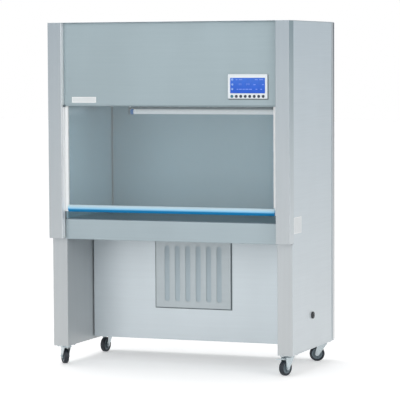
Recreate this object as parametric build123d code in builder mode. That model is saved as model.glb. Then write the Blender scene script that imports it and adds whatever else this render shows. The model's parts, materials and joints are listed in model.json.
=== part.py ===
from build123d import *

import math
import os

# A free-standing clean bench with downward air flow: a folded sheet cabinet on two boxed legs with
# castors, an open work area behind a counterbalanced glass sash, a filter above it and a blower below.
# Millimetres. +X is to the right, +Y to the back and +Z up, and the origin is on the floor under the
# middle. Pieces that come in pairs are drawn on the right and mirrored to the left.

os.makedirs("parts", exist_ok=True)

# ---- Overall sizes -------------------------------------------------------------------------------
WIDTH = 1240.0
DEPTH = 690.0
HEIGHT = 1680.0

# ---- Sheet metal and clearances ------------------------------------------------------------------
SHEET = 1.5
BEND = 2.0  # outside radius of a fold
LAY = 0.3  # between pieces that lie on or against each other
SEAM = 0.5  # between the edges of neighbouring covers

# ---- Cabinet -------------------------------------------------------------------------------------
COLUMN_WIDTH = 70.0
COLUMN_DEPTH = 60.0
COLUMN_DROP = 95.0  # column's foot under the worktop
COLUMN_RETURN = 36.0  # how far the column's inner side runs back
PANEL_RECESS = 30.0  # front panel behind the columns' faces
PANEL_FLANGE = 7.0
PANEL_BOTTOM = 1280.0
SIDE_FLANGE = 14.0
SIDE_LIFT = 6.0  # above the castors
REAR_COVER_DEPTH = 42.5
REAR_COVER_LIFT = 10.0  # above the castors
REAR_JOINT = 776.5  # height of the joint between the two rear covers
REAR_JOINT_GAP = 0.8
COVER_RIM = 14.0
COVER_RIM_INSET = 16.0
LID_EDGE = 0.5

# ---- Legs and knee space -------------------------------------------------------------------------
CASTOR_HEAD = 23.0  # top plate's height over the wheel
LEG_WIDTH = 77.0
LEG_RECESS = 42.0  # leg's front behind the columns' faces
LEG_JOINT = 2.0  # between leg and column
LEG_FLOOR = 3.0
LEG_SHELF = 20.0  # ledge under the worktop
LEG_SHELF_START = 23.0  # behind the leg's front
KNEE_PANEL_Y = 4.0
KNEE_PANEL_LIFT = 13.0  # above the castors
KNEE_FLANGE = 12.0
KNEE_CORNER_GAP = 5.0  # shadow line between the knee panel and each leg
BASE_TRAY_LIFT = 12.0  # above the castors
BASE_TRAY_DEPTH = 12.0

# ---- Intake grille and prefilter -----------------------------------------------------------------
GRILLE_WIDTH = 396.0
GRILLE_BOTTOM = 272.0
GRILLE_TOP = 612.0
GRILLE_PROUD = 8.0
GRILLE_LAP = 8.0  # how far the grille laps over the opening behind it
SLOT_COUNT = 6
SLOT_PITCH = 55.0
SLOT_WIDTH = 25.6
SLOT_LENGTH = 276.0
PREFILTER_LAP = 10.0
PREFILTER_DEPTH = 20.0
PREFILTER_FRAME = 16.0
PREFILTER_PLEATS = 18
PREFILTER_MAT = 1.2

# ---- Worktop and work area -----------------------------------------------------------------------
WORKTOP_Z = 726.0
WORKTOP_NOSE = 8.0
APRON_RECESS = 40.0  # apron behind the columns' faces
APRON_DEPTH = 100.0
APRON_RETURN = 18.0
WORK_WALL_INSET = 5.0  # side wall inside the column's inner side
WORK_BACK_INSET = 84.0  # back wall in front of the bench's back
WORK_CORNER_GAP = 5.0  # air slot between each side wall and the back wall
WORK_WALL_TOP = 1300.0
WORK_WALL_FLANGE = 26.0
BACK_WALL_FLANGE = 10.0
BACK_WALL_LAP = 10.0  # how far the back wall runs past the side walls

# ---- Sash, its rails and its counterweights ------------------------------------------------------
SASH_GAP = 34.0  # open height under the lowered sash
SASH_TRAVEL = 300.0
SASH_INSET = 46.0  # glass's middle behind the columns' faces
STILE_WIDTH = 33.0
SASH_OVERLAP = 32.0  # sash behind the front panel when lowered
STILE_EDGE = 1.5  # chamfer along the stile's corners
GLASS_THICKNESS = 5.0
GLASS_EDGE = 0.6  # chamfer along the glass's top and foot
GLASS_BITE = 8.0  # how deep the glass sits in its stiles and handle
RAIL_WALL = 2.0
RAIL_WIDTH = 18.0
RAIL_DEPTH = 20.0
RAIL_OVERRUN = 8.0  # rail above the raised sash
RAIL_RUN_OUT = 2.0  # between stile and rail web
HANDLE_HEIGHT = 34.0
HANDLE_DEPTH = 21.0
HANDLE_BACK = 5.0  # handle's back face behind the glass's middle
PULLEY_RADIUS = 18.0  # to the middle of the cable
PULLEY_DROP = 35.0  # pulley's middle under the lid's top
PULLEY_WIDTH = 8.0
PULLEY_RIM = 2.0
CABLE_RADIUS = 1.5
AXLE_RADIUS = 4.0
RUNNING = 0.05  # radial clearance of a turning fit
BRACKET_PLATE = 2.0
BRACKET_WIDTH = 20.0
WEIGHT_WIDTH = 22.0
WEIGHT_DEPTH = 50.0
WEIGHT_HEIGHT = 585.0
WEIGHT_EDGE = 2.0
WEIGHT_INSET = 12.0  # kept at least this far inside the bench's side
WEIGHT_DROP = 65.0  # weight's top under the pulley's middle

# ---- Filter, plenum and lamp ---------------------------------------------------------------------
PLENUM_OVERHANG = 15.0
PLENUM_SETBACK = 2.0  # behind the rails
PLENUM_RISE = 260.0  # plenum's top over the work area's walls
PLENUM_LEDGE = 20.0
PLENUM_INLET_WIDTH = 400.0
PLENUM_INLET_HEIGHT = 120.0
PLENUM_INLET_DROP = 80.0  # inlet's middle under the plenum's top
FILTER_HEIGHT = 68.0
FILTER_FRAME = 15.0
FILTER_PLEATS = 24
FILTER_PAPER = 1.5
FILTER_PAPER_INSET = 3.0
DIFFUSER_DROP = 4.0  # under the walls' top
DIFFUSER_COLUMNS = 8
DIFFUSER_ROWS = 3
DIFFUSER_BAR = 24.0  # metal left between neighbouring slots
LAMP_LENGTH = 895.0
LAMP_RADIUS = 13.0
LAMP_DROP = 64.0  # tube's middle under the walls' top
LAMP_STANDOFF = 32.0  # tube's middle in front of the back wall
LAMP_SHIFT = 24.0  # tube's middle to the right of the bench's
LAMP_CAP = 17.0
LAMP_CAP_PROUD = 0.4  # cap's radius over the glass's
LAMP_PIN = 6.0
LAMP_PIN_SIDE = 2.4
SOCKET_WIDTH = 10.0
HOLDER_WIDTH = 48.0
HOLDER_HEIGHT = 18.0
HOLDER_EDGE = 4.0
BATTEN_DEPTH = 15.0

# ---- Blower --------------------------------------------------------------------------------------
BLOWER_INSET = 170.0  # wheel's axis in front of the bench's back
BLOWER_LIFT = 200.0  # wheel's axis above the base tray
BLOWER_WIDTH = 200.0
IMPELLER_RADIUS = 120.0
IMPELLER_WIDTH = 184.0
BLADE_COUNT = 12
BLADE_CHORD = 26.0
BLADE_THICKNESS = 1.5
BLADE_PITCH_ANGLE = 32.0  # how far each blade leans forward from the radius
SCROLL_START = 134.0  # scroll radius at the tongue
SCROLL_GROWTH = 8.0  # added at each quarter turn
TONGUE_ANGLE = 48.0
OUTLET_TOP = 690.0
INLET_RADIUS = 88.0
MOTOR_RADIUS = 45.0
MOTOR_LENGTH = 84.0
MOTOR_EDGE = 6.0
MOTOR_GAP = 3.0  # between the drum's disc and the motor
MOTOR_BOSS = 22.0  # radius of the boss that carries the spider
SHAFT_RADIUS = 6.0
SPIDER_ARMS = 3
SPIDER_ARM = 14.0
SPIDER_SHEET = 3.0
SPIDER_LAP = 10.0  # how far the spider's arms lap over the housing's side
FOOT_FLANGE = 25.0
OUTLET_DEPTH = 60.0
BLADE_RING = 4.0
HUB_DISC = 2.0
HUB_LENGTH = 14.0
HUB_DIAMETER = 30.0

# ---- Controls ------------------------------------------------------------------------------------
BEZEL_INSET = 146.0  # bezel's middle inside the column's inner side
BEZEL_Z = 1371.0
BEZEL_WIDTH = 198.0
BEZEL_HEIGHT = 116.0
BEZEL_PROUD = 8.0
BEZEL_CORNER = 3.0
BEZEL_EDGE = 1.5
SCREEN_WIDTH = 175.0
SCREEN_HEIGHT = 73.0
SCREEN_RISE = 3.8  # screen's middle above the bezel's
SCREEN_SUNK = 2.0
SCREEN_BEVEL = 1.0
BOARD_MARGIN = 8.0
BOARD_DEPTH = 4.8
BUTTON_COUNT = 8
BUTTON_PITCH = 22.4
BUTTON_DIAMETER = 14.0
BUTTON_DROP = 47.0  # below the bezel's middle
BUTTON_PROUD = 2.0
BUTTON_EDGE = 1.2
BUTTON_TRAVEL = 0.8

# ---- Cable gland ---------------------------------------------------------------------------------
GLAND_Y = -10.0
GLAND_Z = 262.0
GLAND_DIAMETER = 34.0
GLAND_PROUD = 8.0
GLAND_THREAD = 24.0
GLAND_BORE = 12.0
GLAND_EDGE = 2.0
GLAND_NUT = 6.0

# ---- Castors -------------------------------------------------------------------------------------
CASTOR_INSET = 40.0  # swivel axis inside the bench's side
CASTOR_FRONT_INSET = 102.0
CASTOR_REAR_INSET = 70.0
CASTOR_TURN = {"fl": 130.0, "fr": 250.0, "rl": 264.0, "rr": 200.0}  # way each one trails, from +X
BRAKED = ("fl", "fr")
WHEEL_DIAMETER = 75.0
WHEEL_WIDTH = 25.0
WHEEL_EDGE = 5.0
HUB_RADIUS = 24.0
HUB_RECESS = 3.0
TRAIL = 27.0
MOUNT_PLATE = 3.0
MOUNT_LENGTH = 95.0
MOUNT_WIDTH = 65.0
MOUNT_CORNER = 8.0
RACE_RADIUS = 24.0
RACE_HEIGHT = 7.0
RACE_TAPER = 12.0
KING_PIN = 5.0
KING_NUT = 9.0  # hexagon's radius
FORK_SHEET = 2.5
FORK_HEAD = 27.0
FORK_HEAD_LAP = 9.0  # how far the head spreads past the cheeks' inner faces
FORK_BACK = 22.0  # how far the cheeks run against the trail
FORK_DROP = 10.0  # height of the cheeks' straight shoulders
FORK_TIP = 11.0  # radius round the axle
FORK_TIP_START = 200.0
FORK_TIP_SWEEP = 150.0
FORK_GAP = 2.0  # between wheel and cheek
AXLE_HEX = 7.5  # nut's radius
AXLE_NUT = 5.0
PEDAL_PIVOT = 35.0  # from the swivel axis, along the trail
PEDAL_PIVOT_DROP = 17.5  # under the castor's top
PEDAL_PIN = 2.5
PEDAL_REACH = 84.0
PEDAL_WIDTH = 30.0
PEDAL_SHEET = 2.5
PEDAL_CORNER = 5.0
PEDAL_RISE = 8.0
PEDAL_KNEE = 10.0  # from the pivot to where the strap starts to rise

# ---- Lines that several pieces share -------------------------------------------------------------
x_out = WIDTH / 2
y_front = -DEPTH / 2
y_back = DEPTH / 2
lid_z = HEIGHT - SHEET
shell_top = lid_z - LAY
castor_top = WHEEL_DIAMETER + CASTOR_HEAD
side_bottom = castor_top + SIDE_LIFT
base_tray_z = castor_top + BASE_TRAY_LIFT
x_column = x_out - COLUMN_WIDTH
y_column_back = y_front + COLUMN_DEPTH
y_panel = y_front + PANEL_RECESS
y_side_back = y_back - REAR_COVER_DEPTH - SEAM
x_leg = x_out - LEG_WIDTH
y_leg = y_front + LEG_RECESS
y_apron = y_front + APRON_RECESS
worktop_under = WORKTOP_Z - SHEET
stands_on_top = WORKTOP_Z + LAY
column_foot = WORKTOP_Z - COLUMN_DROP
leg_top = column_foot - LEG_JOINT
x_wall = x_column - WORK_WALL_INSET
y_work_back = y_back - WORK_BACK_INSET
y_sash = y_front + SASH_INSET
sash_foot = WORKTOP_Z + SASH_GAP
sash_top = PANEL_BOTTOM + SASH_OVERLAP
x_rail = x_column + RAIL_WALL
y_rail_front = y_sash - RAIL_DEPTH / 2
y_rail_back = y_sash + RAIL_DEPTH / 2
rail_top = sash_top + SASH_TRAVEL + RAIL_OVERRUN
x_stile_out = x_rail + RAIL_WIDTH - RAIL_WALL - RAIL_RUN_OUT
x_stile_in = x_stile_out - STILE_WIDTH
x_glass = x_stile_in + GLASS_BITE
x_pulley = x_rail + (RAIL_WIDTH - RAIL_WALL) / 2 - RAIL_RUN_OUT + PULLEY_RADIUS
pulley_z = HEIGHT - PULLEY_DROP
weight_top = pulley_z - WEIGHT_DROP
y_plenum = y_rail_back + PLENUM_SETBACK
plenum_top = WORK_WALL_TOP + PLENUM_RISE
lamp_z = WORK_WALL_TOP - LAMP_DROP
y_blower = y_back - BLOWER_INSET
blower_z = base_tray_z + BLOWER_LIFT
bezel_x = x_column - BEZEL_INSET
bezel_y = y_panel - BEZEL_PROUD


# ---- Helpers -------------------------------------------------------------------------------------
def write(piece, node):
    """Labels a finished piece and writes it to its own file."""
    piece.part.label = node
    export_step(piece.part, f"parts/{node}.step")


def write_pair(piece, node):
    """Writes a right-hand piece, and its mirror image as the left-hand one."""
    with BuildPart() as twin:
        mirror(piece.part, about=Plane.YZ)
    write(piece, f"{node}_right")
    write(twin, f"{node}_left")


def facing_front(y):
    """A plane across the bench at depth y, seen from the front; extruding goes towards the viewer."""
    return Plane.XZ.offset(-y)


def folded(points, bends=BEND, thickness=SHEET):
    """Fills the section of a folded sheet. The points follow its outer face, with the metal on the left."""
    with BuildLine() as outline:
        FilletPolyline(*points, radius=bends)
        offset(amount=thickness, side=Side.LEFT)
    make_face(outline.line)


def block(low, high):
    """Adds a plain block between two corners."""
    size = [top - bottom for bottom, top in zip(low, high)]
    with Locations(Vector(*low)):
        Box(*size, align=(Align.MIN, Align.MIN, Align.MIN))


def tray(low, high, mouth, wall=SHEET):
    """Adds a box between two corners, folded from sheet and open in the mouth's direction."""
    block(low, high)
    floor = faces().sort_by(mouth)[0]
    fillet(floor.edges(), BEND)
    offset(amount=-wall, openings=faces().sort_by(mouth)[-1])


def pleats(left, right, middle, depth, count, thickness):
    """Fills the section of a pleated mat that zigzags from left to right."""
    step = (right - left) / count
    height = depth / 2
    points = [(left + i * step, middle + (height if i % 2 else -height)) for i in range(count + 1)]
    with BuildLine() as outline:
        Polyline(*points)
        offset(amount=thickness, side=Side.LEFT, kind=Kind.INTERSECTION)
    make_face(outline.line)


# ---- Cabinet -------------------------------------------------------------------------------------
def front_columns():
    """C-sections down both sides of the front, each closed at its foot."""
    outer = [
        (x_column, y_front + COLUMN_RETURN),
        (x_column, y_front),
        (x_out, y_front),
        (x_out, y_column_back - LAY),
    ]
    with BuildPart() as column:
        with BuildSketch(Plane.XY.offset(column_foot)):
            folded(outer)
        extrude(amount=shell_top - column_foot)
        low = (x_column + SHEET / 2, y_front + SHEET / 2, column_foot)
        high = (x_out - SHEET / 2, y_column_back - LAY, column_foot + SHEET)
        block(low, high)
    write_pair(column, "front_column")


def front_panel():
    """The fascia over the opening, cut out behind the control panel."""
    half = x_column - SEAM
    with BuildPart() as panel:
        tray((-half, y_panel, PANEL_BOTTOM), (half, y_panel + PANEL_FLANGE, shell_top), Axis.Y)
        with BuildSketch(facing_front(y_panel)):
            with Locations((bezel_x, BEZEL_Z)):
                Rectangle(BEZEL_WIDTH - 2 * BOARD_MARGIN, BEZEL_HEIGHT - 2 * BOARD_MARGIN)
        extrude(amount=-2 * SHEET, mode=Mode.SUBTRACT)
    write(panel, "front_panel")


def side_panels():
    """Full-height side trays; the right one has the hole for the cable gland."""
    low = (x_out - SIDE_FLANGE, y_column_back, side_bottom)
    high = (x_out, y_side_back, shell_top)
    with BuildPart() as plain:
        tray(low, high, -Axis.X)
    with BuildPart() as left:
        mirror(plain.part, about=Plane.YZ)
    with BuildPart() as right:
        add(plain.part)
        with Locations(Plane(origin=(x_out, GLAND_Y, GLAND_Z), z_dir=(1, 0, 0))):
            Hole(radius=GLAND_THREAD / 2 + LAY)
    write(left, "side_panel_left")
    write(right, "side_panel_right")


def top_cover():
    """The lid, with two rims that stand inside the side panels."""
    rim_x = x_out - COVER_RIM_INSET - SHEET
    with BuildPart() as cover:
        block((-x_out, y_front, lid_z), (x_out, y_back, HEIGHT))
        with BuildSketch(Plane.XY.offset(lid_z)):
            with GridLocations(2 * rim_x, 0, 2, 1):
                Rectangle(SHEET, y_side_back - y_column_back)
        extrude(amount=-COVER_RIM)
        fillet(cover.faces().sort_by(Axis.Z)[-1].edges(), LID_EDGE)
    write(cover, "top_cover")


def rear_covers():
    """Two trays that close the back, one above the other."""
    y_edge = y_back - REAR_COVER_DEPTH
    spans = {
        "rear_cover_lower": (castor_top + REAR_COVER_LIFT, REAR_JOINT - REAR_JOINT_GAP / 2),
        "rear_cover_upper": (REAR_JOINT + REAR_JOINT_GAP / 2, shell_top),
    }
    for node, (bottom, top) in spans.items():
        with BuildPart() as cover:
            tray((-x_out, y_edge, bottom), (x_out, y_back, top), -Axis.Y)
        write(cover, node)


# ---- Legs and knee space -------------------------------------------------------------------------
def leg_boxes():
    """The boxed legs: a folded face and inner side, a floor for the castors and a worktop ledge."""
    outer = [
        (x_leg, y_side_back),
        (x_leg, y_leg),
        (x_out, y_leg),
        (x_out, y_column_back - LAY),
    ]
    y_in = y_leg + SHEET / 2
    x_in = x_leg + SHEET / 2
    x_lip = x_out - SHEET - LAY
    ledge_top = worktop_under - SEAM
    y_ledge = y_leg + LEG_SHELF_START
    with BuildPart() as leg:
        with BuildSketch(Plane.XY.offset(castor_top)):
            folded(outer)
        extrude(amount=leg_top - castor_top)
        block((x_in, y_in, leg_top - SHEET), (x_out - SHEET / 2, y_column_back - LAY, leg_top))
        block((x_in, y_in, castor_top), (x_lip, y_back - SHEET - LAY, castor_top + LEG_FLOOR))
        lip_low = (x_lip - SHEET, y_column_back, castor_top)
        block(lip_low, (x_lip, y_back - SHEET - LAY, side_bottom - LAY))
        block((x_leg, y_ledge, leg_top - SHEET), (x_leg + SHEET, y_side_back, ledge_top))
        block((x_leg - LEG_SHELF, y_ledge, ledge_top - SHEET), (x_leg + SHEET, y_work_back, ledge_top))
    write_pair(leg, "leg_box")


def knee_panel():
    """The panel between the legs, with the intake opening."""
    half = x_leg - KNEE_CORNER_GAP
    low = (-half, KNEE_PANEL_Y, castor_top + KNEE_PANEL_LIFT)
    high = (half, KNEE_PANEL_Y + KNEE_FLANGE, worktop_under - SEAM - SHEET - LAY)
    with BuildPart() as panel:
        tray(low, high, Axis.Y)
        with BuildSketch(facing_front(KNEE_PANEL_Y)):
            with Locations((0, (GRILLE_BOTTOM + GRILLE_TOP) / 2)):
                Rectangle(GRILLE_WIDTH - 2 * GRILLE_LAP, GRILLE_TOP - GRILLE_BOTTOM - 2 * GRILLE_LAP)
        extrude(amount=-2 * SHEET, mode=Mode.SUBTRACT)
    write(panel, "knee_panel")


def base_tray():
    """The floor of the blower compartment."""
    half = x_leg - LAY
    y_start = KNEE_PANEL_Y + KNEE_FLANGE + LAY
    with BuildPart() as base:
        low = (-half, y_start, base_tray_z)
        tray(low, (half, y_side_back, base_tray_z + BASE_TRAY_DEPTH), Axis.Z)
    write(base, "base_tray")


def intake_grille():
    """A shallow pressed tray with a row of upright slots."""
    half = GRILLE_WIDTH / 2
    y_face = KNEE_PANEL_Y - GRILLE_PROUD
    middle_z = (GRILLE_BOTTOM + GRILLE_TOP) / 2
    with BuildPart() as grille:
        tray((-half, y_face, GRILLE_BOTTOM), (half, KNEE_PANEL_Y - LAY, GRILLE_TOP), Axis.Y)
        with BuildSketch(facing_front(y_face)):
            with Locations((0, middle_z)):
                with GridLocations(SLOT_PITCH, 0, SLOT_COUNT, 1):
                    SlotOverall(SLOT_LENGTH, SLOT_WIDTH, rotation=90)
        extrude(amount=-2 * SHEET, mode=Mode.SUBTRACT)
    write(grille, "intake_grille")


def prefilter():
    """A framed, pleated mat behind the intake opening."""
    half = GRILLE_WIDTH / 2 - GRILLE_LAP + PREFILTER_LAP
    bottom = GRILLE_BOTTOM + GRILLE_LAP - PREFILTER_LAP
    top = GRILLE_TOP - GRILLE_LAP + PREFILTER_LAP
    y_face = KNEE_PANEL_Y + SHEET + LAY
    y_middle = y_face + PREFILTER_DEPTH / 2
    inner = half - PREFILTER_FRAME
    with BuildPart() as mat:
        block((-half, y_face, bottom), (half, y_face + PREFILTER_DEPTH, top))
        with BuildSketch(facing_front(y_face)):
            with Locations((0, (bottom + top) / 2)):
                Rectangle(2 * inner, top - bottom - 2 * PREFILTER_FRAME)
        extrude(amount=-PREFILTER_DEPTH, mode=Mode.SUBTRACT)
        with BuildSketch(Plane.XY.offset(bottom + PREFILTER_FRAME / 2)):
            left = -inner - PREFILTER_FRAME / 2
            depth = PREFILTER_DEPTH - 3 * PREFILTER_MAT
            pleats(left, -left, y_middle - PREFILTER_MAT / 2, depth, PREFILTER_PLEATS, PREFILTER_MAT)
        extrude(amount=top - bottom - PREFILTER_FRAME)
    write(mat, "prefilter")


# ---- Worktop and work area -----------------------------------------------------------------------
def worktop():
    """One sheet: the top, a rounded nose, the apron below it and a return that stops short of the legs."""
    y_rear = y_work_back + SHEET
    z_apron = WORKTOP_Z - APRON_DEPTH
    outer = [
        (y_rear, WORKTOP_Z),
        (y_apron, WORKTOP_Z),
        (y_apron, z_apron),
        (y_apron + APRON_RETURN, z_apron),
    ]
    half = x_column - LAY
    x_notch = x_leg - SHEET
    with BuildPart() as top:
        with BuildSketch(Plane.YZ):
            folded(outer, bends=(WORKTOP_NOSE, BEND))
        extrude(amount=half, both=True)
        with BuildSketch(Plane.XY.offset(z_apron)):
            for side in (-1, 1):
                with Locations((side * (x_notch + half) / 2, y_apron + SHEET + APRON_RETURN / 2)):
                    Rectangle(half - x_notch, APRON_RETURN)
        extrude(amount=2 * SHEET, mode=Mode.SUBTRACT)
    write(top, "worktop")


def work_walls():
    """The side walls, folded outwards behind the sash rails, and the back wall."""
    y_flange = y_rail_back + LAY
    outer = [
        (x_wall, y_work_back - WORK_CORNER_GAP),
        (x_wall, y_flange),
        (x_wall + WORK_WALL_FLANGE, y_flange),
    ]
    with BuildPart() as side:
        with BuildSketch(Plane.XY.offset(stands_on_top)):
            folded(outer)
        extrude(amount=WORK_WALL_TOP - stands_on_top)
    write_pair(side, "work_wall")

    half = x_wall + BACK_WALL_LAP
    with BuildPart() as back:
        low = (-half, y_work_back, stands_on_top)
        tray(low, (half, y_work_back + BACK_WALL_FLANGE, WORK_WALL_TOP), Axis.Y)
    write(back, "work_wall_back")


# ---- Sash, its rails and its counterweights ------------------------------------------------------
def guide_rails():
    """U-sections that the sash's stiles run in."""
    outer = [
        (x_rail, y_rail_front),
        (x_rail + RAIL_WIDTH, y_rail_front),
        (x_rail + RAIL_WIDTH, y_rail_back),
        (x_rail, y_rail_back),
    ]
    foot = WORKTOP_Z + RAIL_RUN_OUT
    with BuildPart() as rails:
        with BuildSketch(Plane.XY.offset(foot)):
            folded(outer, bends=RAIL_WALL + SEAM, thickness=RAIL_WALL)
        extrude(amount=rail_top - foot)
        mirror(about=Plane.YZ)
    write(rails, "guide_rails")


def sash():
    """The glass, its two grooved stiles and the handle along its lower edge."""
    stile_depth = RAIL_DEPTH - 2 * RAIL_WALL - 2 * LAY
    groove = GLASS_THICKNESS + 2 * LAY
    stile_foot = sash_foot + RAIL_RUN_OUT
    with BuildPart() as stiles:
        low = (x_stile_in, y_sash - stile_depth / 2, stile_foot)
        block(low, (x_stile_out, y_sash + stile_depth / 2, sash_top))
        chamfer(stiles.edges().filter_by(Axis.Z), STILE_EDGE)
        groove_low = (x_stile_in, y_sash - groove / 2, stile_foot)
        with BuildPart(mode=Mode.PRIVATE) as cut:
            block(groove_low, (x_glass + LAY, y_sash + groove / 2, sash_top))
        add(cut.part, mode=Mode.SUBTRACT)
        mirror(about=Plane.YZ)
    write(stiles, "sash_stiles")

    handle_top = sash_foot + HANDLE_HEIGHT
    with BuildPart() as glass:
        low = (-x_glass, y_sash - GLASS_THICKNESS / 2, handle_top - GLASS_BITE)
        block(low, (x_glass, y_sash + GLASS_THICKNESS / 2, sash_top - RAIL_RUN_OUT))
        chamfer(glass.edges().filter_by(Axis.X), GLASS_EDGE)
    write(glass, "sash_glass")

    y_rear = y_sash + HANDLE_BACK
    y_tip = y_rear - HANDLE_DEPTH
    y_shoulder = y_rear - HANDLE_DEPTH / 2
    middle_z = sash_foot + HANDLE_HEIGHT / 2
    with BuildPart() as handle:
        with BuildSketch(Plane.YZ):
            with BuildLine():
                foot = (y_shoulder, sash_foot)
                crest = (y_shoulder, handle_top)
                Polyline(foot, (y_rear, sash_foot), (y_rear, handle_top), crest)
                ThreePointArc(crest, (y_tip, middle_z), foot)
            make_face()
            with Locations((y_sash, handle_top)):
                Rectangle(groove, 2 * (GLASS_BITE + LAY), mode=Mode.SUBTRACT)
        extrude(amount=x_stile_in - LAY, both=True)
    write(handle, "sash_handle")


def counterweights():
    """Steel bars beside the rails that balance the sash."""
    x_middle = min(x_pulley + PULLEY_RADIUS, x_out - WEIGHT_INSET - WEIGHT_WIDTH / 2)
    with BuildPart() as weight:
        with BuildSketch(Plane.XY.offset(weight_top)):
            with Locations((x_middle, y_sash)):
                Rectangle(WEIGHT_WIDTH, WEIGHT_DEPTH)
        extrude(amount=-WEIGHT_HEIGHT)
        chamfer(weight.edges().filter_by(Axis.Z), WEIGHT_EDGE)
    write_pair(weight, "counterweight")


def pulleys():
    """Grooved pulleys over the rails, the brackets that hold them under the lid, and the cables."""
    half = PULLEY_WIDTH / 2
    floor = CABLE_RADIUS + LAY
    groove = PULLEY_RADIUS - floor
    rim = PULLEY_RADIUS + PULLEY_RIM
    axis = Plane(origin=(x_pulley, y_sash, pulley_z), x_dir=(1, 0, 0), z_dir=(0, -1, 0))
    with BuildPart() as pulley:
        with BuildSketch(Plane(origin=axis.origin, x_dir=(1, 0, 0), z_dir=(0, 0, 1))):
            with BuildLine():
                Polyline(
                    (groove, floor),
                    (rim, half),
                    (AXLE_RADIUS + RUNNING, half),
                    (AXLE_RADIUS + RUNNING, -half),
                    (rim, -half),
                    (groove, -floor),
                    close=True,
                )
            make_face()
        revolve(axis=Axis(axis.origin, (0, 1, 0)))
    write_pair(pulley, "pulley")

    y_arm = RAIL_DEPTH / 2 - BRACKET_PLATE
    arm_bottom = pulley_z - BRACKET_WIDTH / 2
    x_low = x_pulley - BRACKET_WIDTH / 2
    with BuildPart() as brackets:
        for y in (y_sash - y_arm - BRACKET_PLATE, y_sash + y_arm):
            block((x_low, y, arm_bottom), (x_low + BRACKET_WIDTH, y + BRACKET_PLATE, shell_top))
        web_low = (x_low, y_sash - y_arm - BRACKET_PLATE, shell_top - BRACKET_PLATE)
        block(web_low, (x_low + BRACKET_WIDTH, y_sash + y_arm + BRACKET_PLATE, shell_top))
        with Locations(axis):
            Cylinder(AXLE_RADIUS, 2 * (y_arm + BRACKET_PLATE))
        mirror(about=Plane.YZ)
    write(brackets, "pulley_brackets")

    with BuildPart() as cable:
        with BuildLine(Plane.XZ.offset(-y_sash)) as route:
            inner = (x_pulley - PULLEY_RADIUS, pulley_z)
            crown = (x_pulley, pulley_z + PULLEY_RADIUS)
            outer = (x_pulley + PULLEY_RADIUS, pulley_z)
            Line((inner[0], sash_top), inner)
            ThreePointArc(inner, crown, outer)
            Line(outer, (outer[0], weight_top))
        with BuildSketch(Plane(origin=route.line @ 0, z_dir=(0, 0, 1))):
            RegularPolygon(CABLE_RADIUS, 6)
        sweep(path=route.line)
    write_pair(cable, "cable")


# ---- Filter, plenum and lamp ---------------------------------------------------------------------
def plenum():
    """The box over the filter, open below with a ledge round its mouth, fed through its back."""
    half = x_wall + PLENUM_OVERHANG
    bottom = WORK_WALL_TOP + LAY
    y_rear = y_work_back + SHEET
    with BuildPart() as box:
        tray((-half, y_plenum, bottom), (half, y_rear, plenum_top), -Axis.Z)
        with BuildSketch(Plane.XY.offset(bottom)):
            with Locations((0, (y_plenum + y_rear) / 2)):
                Rectangle(2 * half, y_rear - y_plenum)
                Rectangle(
                    2 * (half - PLENUM_LEDGE), y_rear - y_plenum - 2 * PLENUM_LEDGE, mode=Mode.SUBTRACT
                )
        extrude(amount=SHEET)
        with BuildSketch(facing_front(y_rear)):
            with Locations((0, plenum_top - PLENUM_INLET_DROP)):
                Rectangle(PLENUM_INLET_WIDTH, PLENUM_INLET_HEIGHT)
        extrude(amount=2 * SHEET, mode=Mode.SUBTRACT)
    write(box, "plenum_box")


def main_filter():
    """The deep filter that stands on the plenum's ledge: a frame with its pleated paper."""
    half = x_wall + PLENUM_OVERHANG - 2 * SHEET
    low_y = y_plenum + 2 * SHEET
    high_y = y_work_back + SHEET - 2 * SHEET
    bottom = WORK_WALL_TOP + LAY + SHEET + LAY
    middle_y = (low_y + high_y) / 2
    with BuildPart() as frame:
        with BuildSketch(Plane.XY.offset(bottom)):
            with Locations((0, middle_y)):
                Rectangle(2 * half, high_y - low_y)
                Rectangle(2 * (half - FILTER_FRAME), high_y - low_y - 2 * FILTER_FRAME, mode=Mode.SUBTRACT)
        extrude(amount=FILTER_HEIGHT)
    write(frame, "filter_frame")

    inner = half - FILTER_FRAME - LAY - FILTER_PAPER
    run_y = high_y - low_y - 2 * FILTER_FRAME - 2 * LAY
    middle_z = bottom + FILTER_HEIGHT / 2
    depth = FILTER_HEIGHT - 2 * FILTER_PAPER_INSET
    with BuildPart() as paper:
        with BuildSketch(facing_front(middle_y)):
            pleats(-inner, inner, middle_z, depth, FILTER_PLEATS, FILTER_PAPER)
        extrude(amount=run_y / 2, both=True)
    write(paper, "filter_paper")


def diffuser_plate():
    """The slotted plate under the filter."""
    y_start = y_rail_back + LAY + SHEET + LAY
    y_end = y_work_back - LAY
    half = x_wall - SEAM
    pitch_x = (2 * half - DIFFUSER_BAR) / DIFFUSER_COLUMNS
    pitch_y = (y_end - y_start - DIFFUSER_BAR) / DIFFUSER_ROWS
    with BuildPart() as plate:
        with BuildSketch(Plane.XY.offset(WORK_WALL_TOP - DIFFUSER_DROP)):
            with Locations((0, (y_start + y_end) / 2)):
                Rectangle(2 * half, y_end - y_start)
                with GridLocations(pitch_x, pitch_y, DIFFUSER_COLUMNS, DIFFUSER_ROWS):
                    Rectangle(pitch_x - DIFFUSER_BAR, pitch_y - DIFFUSER_BAR, mode=Mode.SUBTRACT)
        extrude(amount=SHEET)
    write(plate, "diffuser_plate")


def shifted(source, reach):
    """A finished part moved along X."""
    with BuildPart() as moved_part:
        with Locations((reach, 0, 0)):
            add(source.part)
    return moved_part


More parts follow.
